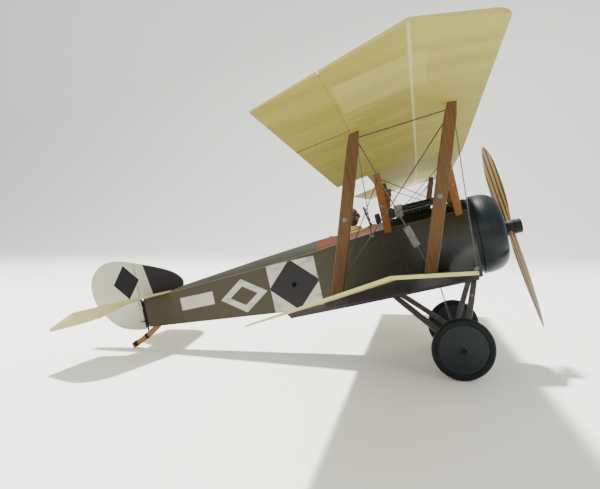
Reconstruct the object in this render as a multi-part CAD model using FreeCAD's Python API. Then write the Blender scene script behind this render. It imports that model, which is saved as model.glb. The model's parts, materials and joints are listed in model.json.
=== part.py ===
import FreeCAD, Part
import math
import os

V = FreeCAD.Vector

# Scale model biplane scout, rubber powered. Every shape is first drawn in the aeroplane's own
# axes: X forward along the thrust line, Y to port, Z up, with zero at the middle of the axle.
# At the end the whole model is pitched nose up on its wheels and tail skid and set on the floor.

# --- Stance ---------------------------------------------------------------------------------
PITCH = 12.88            # degrees nose up, standing on wheels and skid
WHEEL_R = 14.5
WHEEL_Y = 35.1           # middle of each tyre from the centre line
TYRE_W = 4.6
DISC_R = 11.9
AXLE_R = 0.6
AXLE_RUN = 0.05          # radial running clearance of wheels on the axle
AXLE_HALF = 39.6

# --- Nose -----------------------------------------------------------------------------------
THRUST_Z = 49.4          # height of the thrust line above the axle
COWL_R = 20.4
COWL_REAR_X = 20.4
COWL_FRONT_X = 33.7
COWL_MOUTH_R = 12.5
COWL_WALL = 0.9
RING_R = 18.0            # inside of the ring that carries the cowl
RING_FRONT_X = 24.0
PROP_R = 54.6
PROP_X = 37.4
PROP_ROLL = 31.0         # degrees the blades are turned from upright
HUB_R = 3.7
HUB_REAR_X = 35.2
HUB_FRONT_X = 43.2
SHAFT_R = 0.6
SHAFT_RUN = 0.05
BEARING_R = 1.3

# --- Fuselage -------------------------------------------------------------------------------
SIDE_T = 1.2
HALF_WIDTH = 14.0
FUSE_FRONT_X = 18.0
BULGE_END_X = -14.0      # ahead of this the sides swell towards the round cowl
TAPER_X = -50.0          # behind this the sides close in towards the sternpost
FUSE_END_X = -171.0
END_HALF_WIDTH = 3.4
BULGE_Y = 19.0
FLOOR_FLAT_Z = 29.0
FLOOR_BEND_X = -60.0
FLOOR_END_Z = 37.7
SEAM = [(18.0, 63.2), (-28.0, 62.6), (-61.2, 59.4), (-100.0, 57.0), (-153.0, 54.8), (-171.0, 54.0)]
CROWN = [(18.0, 69.3), (-27.0, 66.8), (-61.2, 65.3), (-94.0, 62.6), (-144.5, 57.6), (-153.0, 56.2)]
COAMING_FRONT_X = -27.0
COAMING_REAR_X = -61.2
COCKPIT_X = -42.0
COCKPIT_HALF_LENGTH = 12.5
COCKPIT_HALF_WIDTH = 8.0
DECK_T = 1.2
BELLY_Z = 27.0
BELLY_REAR_X = -86.0

# --- Wings ----------------------------------------------------------------------------------
SHEET_T = 0.9
TAIL_EDGE_T = 0.4        # the sheet is thinned towards its tail edge
CREASE = 0.345           # where the sheet is creased, as a share of the chord
CREASE_RISE = 3.3
UPPER_LE_X = 19.8
UPPER_Z = 89.9
UPPER_CHORD = 60.3
UPPER_INCIDENCE = 2.7
UPPER_DIHEDRAL = 2.85
CENTRE_HALF = 34.1
CENTRE_CHORD = 0.75
UPPER_TIPS = (170.4, 175.6, 179.0, 168.3)   # end of straight nose, corner, crease tip, tail tip
LOWER_LE_X = 2.7
LOWER_Z = 33.8
LOWER_CHORD = 56.1
LOWER_INCIDENCE = 1.0
LOWER_DIHEDRAL = 4.2
LOWER_TIPS = (161.0, 166.2, 170.5, 167.5)
AILERON_HINGE = 0.692
AILERON_INNER_Y = 119.8
AILERON_GAP = 0.4

# --- Struts ---------------------------------------------------------------------------------
STRUT_W = 4.2
STRUT_T = 1.5
STRUT_TOP_Y = 115.7
STRUT_BOTTOM_Y = 113.5
STRUT_TOP = {"front": 0.150, "rear": 0.678}
STRUT_BOTTOM = {"front": 0.178, "rear": 0.738}
CABANE_W = 4.0
CABANE_T = 1.4
CABANE_TOP_Y = 27.9
CABANE_TOP = {"front": 0.125, "rear": 0.683}
CABANE_FOOT_X = {"front": 13.4, "rear": -22.3}
LEG_W = 3.0
LEG_T = 1.6
LEG_TOP_X = {"front": 13.6, "rear": -26.8}
LEG_TOP_Y = 11.5
LEG_FOOT_X = {"front": 0.9, "rear": -1.0}
LEG_FOOT_Y = 29.8
WIRE_R = 0.2

# --- Tail -----------------------------------------------------------------------------------
TAIL_Z = 55.6            # middle of the tailplane sheet
TAIL_T = 1.2
TAIL_HALF_SPAN = 67.5
TAILPLANE_LE_X = -152.5
ELEVATOR_X = -172.1      # elevator hinge line
ELEVATOR_DROOP = 17.3    # degrees the elevator hangs below the tailplane at rest
ELEVATOR_CHORD = 20.2
RUDDER_X = -174.3        # rudder hinge line
FIN_T = 1.2
SKID_END_X = -186.8

# --- Inside ---------------------------------------------------------------------------------
PEG_X = -77.5
PEG_Z = 44.5
PEG_R = 1.6
PEG_BORE_R = 1.0
HOOK_X = 6.0
RUBBER_R = 0.9

parts = {}


# --- Shape helpers --------------------------------------------------------------------------
def slab_xz(points, y_low, y_high):
    """A side-view outline given thickness across the aeroplane."""
    wire = Part.makePolygon([V(x, y_low, z) for x, z in points + points[:1]])
    return Part.Face(wire).extrude(V(0, y_high - y_low, 0))


def slab_xy(points, z_low, z_high):
    """A plan-view outline given height."""
    wire = Part.makePolygon([V(x, y, z_low) for x, y in points + points[:1]])
    return Part.Face(wire).extrude(V(0, 0, z_high - z_low))


def rod(start, end, radius):
    return Part.makeCylinder(radius, (end - start).Length, start, end - start)


def tube(start, end, outer, inner):
    return rod(start, end, outer).cut(rod(start, end, inner))


def mirror(shape):
    return shape.mirror(V(0, 0, 0), V(0, 1, 0))


def level(points, x):
    """Height of a broken line at x; the points run from nose to tail."""
    for (xa, za), (xb, zb) in zip(points, points[1:]):
        if xb <= x <= xa:
            return za + (zb - za) * (x - xa) / (xb - xa)
    return points[0][1] if x > points[0][0] else points[-1][1]


def largest(shape):
    return max(shape.Solids, key=lambda solid: solid.Volume)


def half_width(x):
    if x >= TAPER_X:
        return HALF_WIDTH
    return HALF_WIDTH + (END_HALF_WIDTH - HALF_WIDTH) * (x - TAPER_X) / (FUSE_END_X - TAPER_X)


def floor_level(x):
    return level([(FUSE_FRONT_X, FLOOR_FLAT_Z), (FLOOR_BEND_X, FLOOR_FLAT_Z), (FUSE_END_X, FLOOR_END_Z)], x)


def lathe_x(profile, axis_z):
    """Turns an outline of (x, radius) points about a fore and aft line at the given height."""
    wire = Part.makePolygon([V(x, 0, axis_z + r) for x, r in profile + profile[:1]])
    return Part.Face(wire).revolve(V(0, 0, axis_z), V(1, 0, 0), 360)


# --- Fuselage box ---------------------------------------------------------------------------
def fuselage_side():
    """Port side sheet: a flat, tapering tail part and a cheek that swells towards the cowl."""
    outline = [(BULGE_END_X, level(SEAM, BULGE_END_X)), (-28.0, 62.6), (-61.2, 59.4), (-100.0, 57.0),
               (-153.0, 54.8), (FUSE_END_X, 54.0), (FUSE_END_X, FLOOR_END_Z),
               (FLOOR_BEND_X, FLOOR_FLAT_Z), (BULGE_END_X, FLOOR_FLAT_Z)]
    plan = [(BULGE_END_X, HALF_WIDTH), (TAPER_X, HALF_WIDTH), (FUSE_END_X, END_HALF_WIDTH),
            (FUSE_END_X, END_HALF_WIDTH - SIDE_T), (TAPER_X, HALF_WIDTH - SIDE_T),
            (BULGE_END_X, HALF_WIDTH - SIDE_T)]
    flat = slab_xz(outline, 0, 30).common(slab_xy(plan, 0, 100))

    def band(x, bulge):
        top = level(SEAM, x)
        middle = (top + FLOOR_FLAT_Z) / 2
        edges = []
        for inset in (0, SIDE_T):
            low = V(x, HALF_WIDTH - inset, FLOOR_FLAT_Z)
            high = V(x, HALF_WIDTH - inset, top)
            edges.append((low, V(x, bulge - inset, middle), high))
        outer = Part.Arc(*edges[0]).toShape()
        inner = Part.Arc(*edges[1]).toShape()
        return Part.Wire([outer, Part.makeLine(edges[0][2], edges[1][2]), inner,
                          Part.makeLine(edges[1][0], edges[0][0])])

    cheek = Part.makeLoft([band(FUSE_FRONT_X, BULGE_Y), band(BULGE_END_X, HALF_WIDTH + 0.05)], True, True)
    return flat.fuse(cheek).removeSplitter()


def deck(stations, thickness=DECK_T):
    """Curved top sheet through the given stations, standing on the sides' top edges."""
    wires = []
    for x in stations:
        wide = half_width(x)
        seam = level(SEAM, x)
        crown = level(CROWN, x)
        outer = Part.Arc(V(x, -wide, seam), V(x, 0, crown), V(x, wide, seam)).toShape()
        inner = Part.Arc(V(x, wide - thickness, seam), V(x, 0, crown - thickness),
                         V(x, thickness - wide, seam)).toShape()
        wires.append(Part.Wire([outer, Part.makeLine(V(x, wide, seam), V(x, wide - thickness, seam)),
                                inner, Part.makeLine(V(x, thickness - wide, seam), V(x, -wide, seam))]))
    bays = [Part.makeLoft([a, b], True, True) for a, b in zip(wires, wires[1:])]
    shape = bays[0]
    for bay in bays[1:]:
        shape = shape.fuse(bay)
    return shape


def cockpit_hole():
    hole = Part.makeCylinder(1, 60, V(0, 0, 40))
    stretch = FreeCAD.Matrix()
    stretch.scale(COCKPIT_HALF_LENGTH, COCKPIT_HALF_WIDTH, 1)
    hole = hole.transformGeometry(stretch)
    hole.translate(V(COCKPIT_X, 0, 0))
    return hole


def fuselage_floor():
    inner_front = half_width(0) - SIDE_T
    top = [(FUSE_FRONT_X, FLOOR_FLAT_Z), (FLOOR_BEND_X, FLOOR_FLAT_Z), (FUSE_END_X, FLOOR_END_Z)]
    outline = top + [(x, z + 1.0) for x, z in reversed(top)]
    plan = [(FUSE_FRONT_X, inner_front), (TAPER_X, inner_front), (FUSE_END_X, END_HALF_WIDTH - SIDE_T)]
    plan += [(x, -y) for x, y in reversed(plan)]
    return slab_xz(outline, -30, 30).common(slab_xy(plan, 0, 100))


def belly_pan():
    """Thin pan under the wing roots, sprung onto the bottom of the fuselage."""
    outline = [(16.0, FLOOR_FLAT_Z), (FLOOR_BEND_X, FLOOR_FLAT_Z), (BELLY_REAR_X, floor_level(BELLY_REAR_X)),
               (BELLY_REAR_X + 2.5, BELLY_Z), (16.0, BELLY_Z + 0.7)]
    plan = [(16.0, HALF_WIDTH), (TAPER_X, HALF_WIDTH), (BELLY_REAR_X, half_width(BELLY_REAR_X))]
    plan += [(x, -y) for x, y in reversed(plan)]
    return slab_xz(outline, -30, 30).common(slab_xy(plan, 0, 100))


side_left = fuselage_side()
parts["fuselage_side_left"] = side_left
parts["fuselage_side_right"] = mirror(side_left)
parts["fuselage_floor"] = fuselage_floor()
parts["belly_pan"] = belly_pan()
parts["front_deck"] = deck([FUSE_FRONT_X, COAMING_FRONT_X])
parts["cockpit_coaming"] = deck([COAMING_FRONT_X, -28.0, TAPER_X, COAMING_REAR_X]).cut(cockpit_hole())
parts["rear_deck"] = deck([COAMING_REAR_X, -94.0, -144.5, -153.0])


def firewall():
    x = FUSE_FRONT_X
    seam = level(SEAM, x)
    middle = (seam + FLOOR_FLAT_Z) / 2
    side = HALF_WIDTH - SIDE_T - 0.05
    arc_left = Part.Arc(V(x, side, FLOOR_FLAT_Z + 1.0), V(x, BULGE_Y - SIDE_T - 0.25, middle),
                        V(x, side, seam)).toShape()
    arc_right = Part.Arc(V(x, -side, seam), V(x, -(BULGE_Y - SIDE_T - 0.25), middle),
                         V(x, -side, FLOOR_FLAT_Z + 1.0)).toShape()
    arc_top = Part.Arc(V(x, side, seam), V(x, 0, level(CROWN, x) - DECK_T - 0.05), V(x, -side, seam)).toShape()
    bottom = Part.makeLine(V(x, -side, FLOOR_FLAT_Z + 1.0), V(x, side, FLOOR_FLAT_Z + 1.0))
    face = Part.Face(Part.Wire([arc_left, arc_top, arc_right, bottom]))
    hole = rod(V(0, 0, THRUST_Z), V(30, 0, THRUST_Z), 6.5)
    return face.extrude(V(-1.5, 0, 0)).cut(hole)


def tail_block():
    """Solid wedge between the sides that carries the tailplane and closes the stern."""
    inner = END_HALF_WIDTH - SIDE_T
    plan = [(-153.0, half_width(-153.0) - SIDE_T), (FUSE_END_X, inner)]
    plan += [(x, -y) for x, y in reversed(plan)]
    outline = [(-153.0, floor_level(-153.0) + 1.0), (FUSE_END_X, FLOOR_END_Z + 1.0),
               (FUSE_END_X, TAIL_Z - TAIL_T / 2), (-153.0, TAIL_Z - TAIL_T / 2)]
    return slab_xz(outline, -30, 30).common(slab_xy(plan, 0, 100))


parts["firewall"] = firewall()
parts["tail_block"] = tail_block()


# --- Cowl and engine front ------------------------------------------------------------------
def cowl():
    """Thin round cowl, straight at the back and rolled in to its open mouth."""
    def half_shell(inset):
        bend_x = COWL_FRONT_X - 9.7
        run = COWL_FRONT_X - inset - bend_x
        drop = COWL_R - COWL_MOUTH_R - 1.0
        turn = [(bend_x + run * math.sin(a), COWL_MOUTH_R + 1.0 + (drop - inset) * math.cos(a))
                for a in [math.radians(step) for step in range(0, 91, 10)]]
        return [(COWL_REAR_X, COWL_R - inset)] + turn
    outer = half_shell(0) + [(COWL_FRONT_X, COWL_MOUTH_R)]
    inner = [(COWL_FRONT_X - COWL_WALL, COWL_MOUTH_R)] + half_shell(COWL_WALL)[::-1]
    return lathe_x(outer + inner, THRUST_Z)


def dummy_rotary():
    """Nine finned cylinders round a crankcase: the engine face that shows in the cowl's mouth."""
    shape = lathe_x([(22.0, 2.6), (28.6, 2.6), (28.6, 4.6), (27.4, 5.8), (22.0, 5.8)], THRUST_Z)
    for n in range(9):
        angle = math.radians(n * 40.0)
        out = V(0, math.sin(angle), math.cos(angle))
        centre = V(25.2, 0, THRUST_Z)
        shape = shape.fuse(rod(centre + out * 4.5, centre + out * 17.2, 1.8))
        for rib in range(7):
            start = centre + out * (7.0 + rib * 1.5)
            shape = shape.fuse(rod(start, start + out * 0.5, 2.3))
    return shape


def nose_block():
    """Plug behind the engine that carries the thrust bearing and fills the firewall's hole."""
    profile = [(16.0, BEARING_R), (22.0, BEARING_R), (22.0, 9.0), (18.0, 9.0), (18.0, 6.5), (16.0, 6.5)]
    return lathe_x(profile, THRUST_Z)


parts["cowl"] = cowl()
parts["cowl_ring"] = tube(V(FUSE_FRONT_X, 0, THRUST_Z), V(RING_FRONT_X, 0, THRUST_Z), COWL_R - COWL_WALL, RING_R)
parts["nose_block"] = nose_block()
parts["dummy_rotary"] = dummy_rotary()
parts["thrust_bearing"] = tube(V(15.5, 0, THRUST_Z), V(34.6, 0, THRUST_Z), BEARING_R, SHAFT_R + SHAFT_RUN)


# --- Propeller ------------------------------------------------------------------------------
def blade_section(radius, chord, thick, twist):
    """Lens-shaped section of the upper blade, turned by its pitch angle."""
    lean = math.radians(twist)
    along = V(math.cos(lean), math.sin(lean), 0)
    across = V(-math.sin(lean), math.cos(lean), 0)
    centre = V(PROP_X, 0, radius)
    lead = centre + along * (chord / 2)
    trail = centre - along * (chord / 2)
    front = Part.Arc(lead, centre + across * (thick / 2), trail).toShape()
    back = Part.Arc(trail, centre - across * (thick / 2), lead).toShape()
    return Part.Wire([front, back])


def propeller():
    stations = [(0.0, 4.6, 3.4, -46.0), (7.0, 6.4, 2.8, -52.0), (16.0, 10.4, 2.1, -59.0),
                (29.0, 12.6, 1.7, -64.0), (41.0, 11.8, 1.3, -67.0), (49.5, 7.6, 0.9, -69.0),
                (PROP_R, 1.8, 0.6, -70.0)]
    blade = Part.makeLoft([blade_section(*station) for station in stations], True, False)
    other = blade.copy()
    other.rotate(V(PROP_X, 0, 0), V(1, 0, 0), 180)
    boss = rod(V(PROP_X - 1.7, 0, 0), V(PROP_X + 1.7, 0, 0), 3.0)
    both = blade.fuse(other).fuse(boss).cut(rod(V(30, 0, 0), V(45, 0, 0), SHAFT_R))
    both.rotate(V(PROP_X, 0, 0), V(1, 0, 0), -PROP_ROLL)
    both.translate(V(0, 0, THRUST_Z))
    return both


def prop_hub(blades):
    """Round driver tube clamped over the propeller boss, open at the front for a winder's hook."""
    profile = [(HUB_REAR_X, SHAFT_R), (41.0, SHAFT_R), (41.0, 2.4), (HUB_FRONT_X, 2.4),
               (HUB_FRONT_X, HUB_R - 0.3), (HUB_FRONT_X - 0.3, HUB_R), (HUB_REAR_X, HUB_R)]
    return lathe_x(profile, THRUST_Z).cut(blades)


def prop_shaft():
    """Steel wire through the bearing, bent to a hook that holds the rubber."""
    straight = rod(V(HOOK_X + 2.4, 0, THRUST_Z), V(41.0, 0, THRUST_Z), SHAFT_R)
    ring = Part.makeTorus(2.4, SHAFT_R, V(HOOK_X, 0, THRUST_Z), V(0, 1, 0))
    gap = Part.makeBox(2.0, 4.0, 4.0, V(HOOK_X + 0.4, -2.0, THRUST_Z + 0.9))
    stop = tube(V(13.6, 0, THRUST_Z), V(15.2, 0, THRUST_Z), 1.5, SHAFT_R)
    return straight.fuse(ring.cut(gap)).fuse(stop)


parts["propeller"] = propeller()
parts["prop_hub"] = prop_hub(parts["propeller"])
parts["prop_shaft"] = prop_shaft()


# --- Rubber motor ---------------------------------------------------------------------------
def rubber_motor():
    """One loop of rubber strip: two strands drawn from the front hook round the peg."""
    front = V(HOOK_X - 4.5, 0, THRUST_Z)
    rear = V(PEG_X, 0, PEG_Z)
    turn = V(0, 0, PEG_R + RUBBER_R + 0.1)
    loop = Part.makeTorus(turn.z, RUBBER_R, rear, V(0, 1, 0))
    shape = loop.common(Part.makeBox(10, 10, 12, rear + V(-10, -5, -6)))
    for tip in (rear + turn, rear - turn):
        shape = shape.fuse(rod(front, tip, RUBBER_R))
    return shape.fuse(Part.makeSphere(RUBBER_R * 1.3, front))


parts["rubber_motor"] = rubber_motor()
parts["motor_peg"] = tube(V(PEG_X, -half_width(PEG_X) - 0.3, PEG_Z), V(PEG_X, half_width(PEG_X) + 0.3, PEG_Z),
                          PEG_R, PEG_BORE_R)
peg_hole = rod(V(PEG_X, -20, PEG_Z), V(PEG_X, 20, PEG_Z), PEG_R)
for side_name in ("fuselage_side_left", "fuselage_side_right"):
    parts[side_name] = parts[side_name].cut(peg_hole)


# --- Wings ----------------------------------------------------------------------------------
class Wing:
    """Places points on one creased sheet wing; frac runs from the nose (0) to the tail edge (1)."""

    def __init__(self, le_x, le_z, chord, incidence, dihedral, root_y):
        self.le_x = le_x
        self.le_z = le_z
        self.chord = chord
        self.lean = math.radians(incidence)
        self.slope = math.tan(math.radians(dihedral))
        self.root_y = root_y

    def rise(self, frac):
        if frac <= CREASE:
            return CREASE_RISE * frac / CREASE
        return CREASE_RISE * (1 - frac) / (1 - CREASE)

    def point(self, frac, y, above=0.0):
        """A point on the underside, or above it by the given amount."""
        rise = self.rise(frac) + above
        x = self.le_x - frac * self.chord * math.cos(self.lean) + rise * math.sin(self.lean)
        z = self.le_z - frac * self.chord * math.sin(self.lean) + rise * math.cos(self.lean)
        return V(x, y, z + max(0.0, abs(y) - self.root_y) * self.slope)

    def sheet(self, y_from, y_to, slope):
        """The creased sheet as a prism between two span positions."""
        lower = [self.point(frac, 0) for frac in (0, CREASE, 1)]
        upper = [self.point(frac, 0, thick) for frac, thick in ((1, TAIL_EDGE_T), (CREASE, SHEET_T), (0, SHEET_T))]
        ring = [V(p.x, y_from, p.z + slope * (y_from - self.root_y)) for p in lower + upper]
        face = Part.Face(Part.makePolygon(ring + ring[:1]))
        return face.extrude(V(0, y_to - y_from, slope * (y_to - y_from)))

    def plan(self, y_root, tips, x_front=None, x_back=None):
        """Plan outline of a port panel with its rounded nose corner, as an upright prism."""
        straight, corner, crease_tip, tail_tip = tips
        nose = self.le_x + 0.5
        tail = self.point(1, 0).x - 0.5
        mid = self.point(CREASE, 0).x
        turn = corner - straight
        arc = [V(nose, straight, 0), V(nose - turn * 0.3, corner - turn * 0.3, 0), V(nose - turn, corner, 0)]
        edges = [Part.makeLine(V(nose, y_root, 0), arc[0]), Part.Arc(*arc).toShape(),
                 Part.makeLine(arc[2], V(mid, crease_tip, 0)),
                 Part.makeLine(V(mid, crease_tip, 0), V(tail, tail_tip, 0)),
                 Part.makeLine(V(tail, tail_tip, 0), V(tail, y_root, 0)),
                 Part.makeLine(V(tail, y_root, 0), V(nose, y_root, 0))]
        return Part.Face(Part.Wire(edges)).extrude(V(0, 0, 200))


upper = Wing(UPPER_LE_X, UPPER_Z, UPPER_CHORD, UPPER_INCIDENCE, UPPER_DIHEDRAL, CENTRE_HALF)
lower = Wing(LOWER_LE_X, LOWER_Z, LOWER_CHORD, LOWER_INCIDENCE, LOWER_DIHEDRAL, HALF_WIDTH)

upper_panel = upper.sheet(CENTRE_HALF, 185.0, upper.slope).common(upper.plan(CENTRE_HALF, UPPER_TIPS))
hinge_x = upper.point(AILERON_HINGE, 0).x
aileron_bay = Part.makeBox(60, 100, 200, V(hinge_x - 60, AILERON_INNER_Y, 0))
aileron_space = Part.makeBox(60, 100, 200, V(hinge_x - 60 - AILERON_GAP, AILERON_INNER_Y + AILERON_GAP, 0))
aileron = largest(upper_panel.common(aileron_space))
upper_panel = largest(upper_panel.cut(aileron_bay))
centre_box = Part.makeBox(200, 2 * CENTRE_HALF, 200, V(upper.point(CENTRE_CHORD, 0).x, -CENTRE_HALF, 0))
centre = upper.sheet(-CENTRE_HALF, CENTRE_HALF, 0).common(centre_box)
lower_panel = lower.sheet(8.0, 175.0, lower.slope).common(lower.plan(8.0, LOWER_TIPS))
fuselage_core = slab_xz([(30, 20), (30, 60), (-80, 60), (-80, 20)], -HALF_WIDTH + 0.5, HALF_WIDTH - 0.5)
lower_panel = largest(lower_panel.cut(fuselage_core).cut(side_left))

parts["upper_wing_centre"] = centre
parts["upper_wing_left"] = upper_panel
parts["upper_wing_right"] = mirror(upper_panel)
parts["aileron_left"] = aileron
parts["aileron_right"] = mirror(aileron)
parts["lower_wing_left"] = lower_panel
parts["lower_wing_right"] = mirror(lower_panel)


# --- Struts ---------------------------------------------------------------------------------
def strut(start, end, width, thick, shoulder=0.55, reach=2.5, foot=0.94):
    """Flat strut with rounded edges, narrowing to its top, overlong by reach at both ends."""
    axis = end - start
    length = axis.Length
    up = axis.normalize()
    fore = (V(1, 0, 0) - up * up.x).normalize()
    side = up.cross(fore)
    narrow = width * shoulder
    low = -reach
    high = length + reach
    outline = [(low, -width * foot / 2), (length * 0.3, -width / 2),
               (length * 0.7, -width / 2), (length * 0.92, -width * 0.47), (high, -narrow / 2),
               (high, narrow / 2), (length * 0.92, width * 0.47), (length * 0.7, width / 2),
               (length * 0.3, width / 2), (low, width * foot / 2)]
    corners = [start + up * u + fore * w - side * (thick / 2) for u, w in outline]
    body = Part.Face(Part.makePolygon(corners + corners[:1])).extrude(side * thick)
    long_edges = [edge for edge in body.Edges
                  if abs(edge.tangentAt(edge.FirstParameter).dot(side)) < 0.5
                  and abs((edge.Vertexes[0].Point - start).dot(up) - (edge.Vertexes[1].Point - start).dot(up)) > 5]
    return body.makeFillet(thick * 0.3, long_edges)


def trimmed(shape, *cutters):
    for cutter in cutters:
        shape = shape.cut(cutter)
    return largest(shape)


strut_ends = {}
posts_left = []
for place in ("front", "rear"):
    top = upper.point(STRUT_TOP[place], STRUT_TOP_Y)
    bottom = lower.point(STRUT_BOTTOM[place], STRUT_BOTTOM_Y, SHEET_T)
    strut_ends[place] = (bottom, top)
    post = trimmed(strut(bottom, top, STRUT_W, STRUT_T), upper_panel, lower_panel)
    posts_left.append(post)

parts["interplane_struts_left"] = Part.makeCompound(posts_left)
parts["interplane_struts_right"] = mirror(parts["interplane_struts_left"])

cabane_ends = {}
cabane_left = []
for place in ("front", "rear"):
    foot = V(CABANE_FOOT_X[place], HALF_WIDTH + 0.6, level(SEAM, CABANE_FOOT_X[place]) - 1.0)
    top = upper.point(CABANE_TOP[place], CABANE_TOP_Y)
    cabane_ends[place] = (foot, top)
    post = strut(foot, top, CABANE_W, CABANE_T, 0.8, 1.0)
    cabane_left.append(trimmed(post, centre, side_left, parts["front_deck"]))
parts["cabane_struts_left"] = Part.makeCompound(cabane_left)
parts["cabane_struts_right"] = mirror(parts["cabane_struts_left"])


# --- Undercarriage --------------------------------------------------------------------------
axle = rod(V(0, -AXLE_HALF, 0), V(0, AXLE_HALF, 0), AXLE_R)
legs_left = []
for place in ("front", "rear"):
    foot = V(LEG_FOOT_X[place], LEG_FOOT_Y, -0.6)
    top = V(LEG_TOP_X[place], LEG_TOP_Y, BELLY_Z + 1.0)
    leg = strut(foot, top, LEG_W, LEG_T, 0.85, 1.0)
    legs_left.append(trimmed(leg, parts["belly_pan"], axle, *legs_left))
parts["gear_legs_left"] = Part.makeCompound(legs_left)
parts["gear_legs_right"] = mirror(parts["gear_legs_left"])


def tyre():
    outline = [(DISC_R, -TYRE_W / 2), (WHEEL_R - 1.0, -TYRE_W / 2), (WHEEL_R - 0.2, -TYRE_W * 0.3),
               (WHEEL_R, 0), (WHEEL_R - 0.2, TYRE_W * 0.3), (WHEEL_R - 1.0, TYRE_W / 2), (DISC_R, TYRE_W / 2)]
    ring = Part.makePolygon([V(r, WHEEL_Y + y, 0) for r, y in outline + outline[:1]])
    return Part.Face(ring).revolve(V(0, 0, 0), V(0, 1, 0), 360)


def wheel_disc():
    """Cone-faced wheel: a shallow cone each side of the rim, drilled for the axle."""
    bore = AXLE_R + AXLE_RUN
    outline = [(bore, -2.6), (2.2, -2.6), (DISC_R, -1.5), (DISC_R, 1.7), (2.2, 3.2), (bore, 3.2)]
    ring = Part.makePolygon([V(r, WHEEL_Y + y, 0) for r, y in outline + outline[:1]])
    return Part.Face(ring).revolve(V(0, 0, 0), V(0, 1, 0), 360)


def wheel_collars():
    """A stop ring each side of each wheel, pressed onto the axle."""
    rings = []
    for start, end in ((WHEEL_Y - 3.6, WHEEL_Y - 2.8), (WHEEL_Y + 3.4, WHEEL_Y + 4.2)):
        rings.append(tube(V(0, start, 0), V(0, end, 0), 1.3, AXLE_R))
    return rings + [mirror(ring) for ring in rings]


parts["tyre_left"] = tyre()
parts["tyre_right"] = mirror(parts["tyre_left"])
parts["wheel_disc_left"] = wheel_disc()
parts["wheel_disc_right"] = mirror(parts["wheel_disc_left"])
parts["axle"] = Part.makeCompound([axle] + wheel_collars())


# --- Tail -----------------------------------------------------------------------------------
def spline_slab(points, closing, y_half):
    """Side-view outline with a smooth curved run closed by straight edges."""
    curve = Part.BSplineCurve()
    curve.interpolate([V(x, 0, z) for x, z in points])
    corners = [V(x, 0, z) for x, z in points[-1:] + closing + points[:1]]
    edges = [curve.toShape()] + [Part.makeLine(a, b) for a, b in zip(corners, corners[1:])]
    slab = Part.Face(Part.Wire(edges)).extrude(V(0, 2 * y_half, 0))
    slab.translate(V(0, -y_half, 0))
    return slab


def fin():
    crown = [(-146.2, 57.0), (-145.3, 60.2), (-148.2, 64.6), (-155.0, 69.0), (-164.0, 73.0), (-173.9, 76.8)]
    shape = spline_slab(crown, [(-173.9, TAIL_Z + TAIL_T / 2), (-152.4, TAIL_Z + TAIL_T / 2)], FIN_T / 2)
    return trimmed(shape, parts["rear_deck"])


def rudder():
    edge = [(-174.8, 77.1), (-181.0, 79.2), (-187.7, 80.7), (-194.0, 80.3), (-199.8, 77.4), (-203.6, 72.9),
            (-205.2, 66.4), (-203.6, 56.6), (-200.0, 50.2), (-195.7, 44.6), (-191.0, 40.8), (-185.5, 38.5),
            (-180.0, 37.2), (-174.8, 36.7)]
    return spline_slab(edge, [], FIN_T / 2)


def tailplane():
    span = TAIL_HALF_SPAN
    curve = Part.BSplineCurve()
    curve.interpolate([V(TAILPLANE_LE_X - 7.0, span - 14.5, 0), V(TAILPLANE_LE_X - 10.5, span - 6.6, 0),
                       V(TAILPLANE_LE_X - 15.0, span - 1.6, 0), V(ELEVATOR_X + 0.4, span, 0)])
    ends = [V(TAILPLANE_LE_X, 0, 0), V(TAILPLANE_LE_X - 0.6, 9.0, 0), V(TAILPLANE_LE_X - 7.0, span - 14.5, 0)]
    back = [V(ELEVATOR_X + 0.4, span, 0), V(ELEVATOR_X + 0.4, 9.5, 0), V(ELEVATOR_X + 0.8, 9.5, 0),
            V(ELEVATOR_X + 0.8, 0, 0), V(TAILPLANE_LE_X, 0, 0)]
    edges = [Part.makeLine(a, b) for a, b in zip(ends, ends[1:])] + [curve.toShape()]
    edges += [Part.makeLine(a, b) for a, b in zip(back, back[1:])]
    half = Part.Face(Part.Wire(edges)).extrude(V(0, 0, TAIL_T))
    half.translate(V(0, 0, TAIL_Z - TAIL_T / 2))
    return half.fuse(mirror(half)).removeSplitter()


elevator_joiner = rod(V(ELEVATOR_X, -9.0, TAIL_Z), V(ELEVATOR_X, 9.0, TAIL_Z), 0.35)


def elevator_half():
    """Port elevator, level; its inner end is cut away to clear the swinging rudder."""
    x = ELEVATOR_X
    plan = [(x - 0.35, 2.6), (x - 2.4, 2.6), (x - 4.8, 13.5), (x - 18.6, 20.4), (x - ELEVATOR_CHORD, 36.0),
            (x - 19.6, TAIL_HALF_SPAN - 5.5), (x - 17.6, TAIL_HALF_SPAN - 3.6), (x - 5.8, TAIL_HALF_SPAN - 0.9),
            (x - 0.35, TAIL_HALF_SPAN)]
    half = slab_xy(plan, TAIL_Z - TAIL_T / 2, TAIL_Z + TAIL_T / 2)
    tongue = Part.makeBox(1.0, 4.0, TAIL_T, V(x - 0.6, 3.6, TAIL_Z - TAIL_T / 2))
    return half.fuse(tongue).cut(elevator_joiner)


def elevator_horn():
    x = ELEVATOR_X
    outline = [(x - 0.8, TAIL_Z - TAIL_T / 2), (x - 2.6, TAIL_Z - TAIL_T / 2), (x - 4.6, TAIL_Z - 6.0),
               (x - 3.4, TAIL_Z - 7.0), (x - 2.2, TAIL_Z - 6.2)]
    hole = rod(V(x - 3.4, 0, TAIL_Z - 6.0), V(x - 3.4, 10, TAIL_Z - 6.0), 0.3)
    return slab_xz(outline, 3.4, 4.2).cut(hole)


def drooped(shape):
    turned = shape.copy()
    turned.rotate(V(ELEVATOR_X, 0, TAIL_Z), V(0, 1, 0), -ELEVATOR_DROOP)
    return turned


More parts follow.
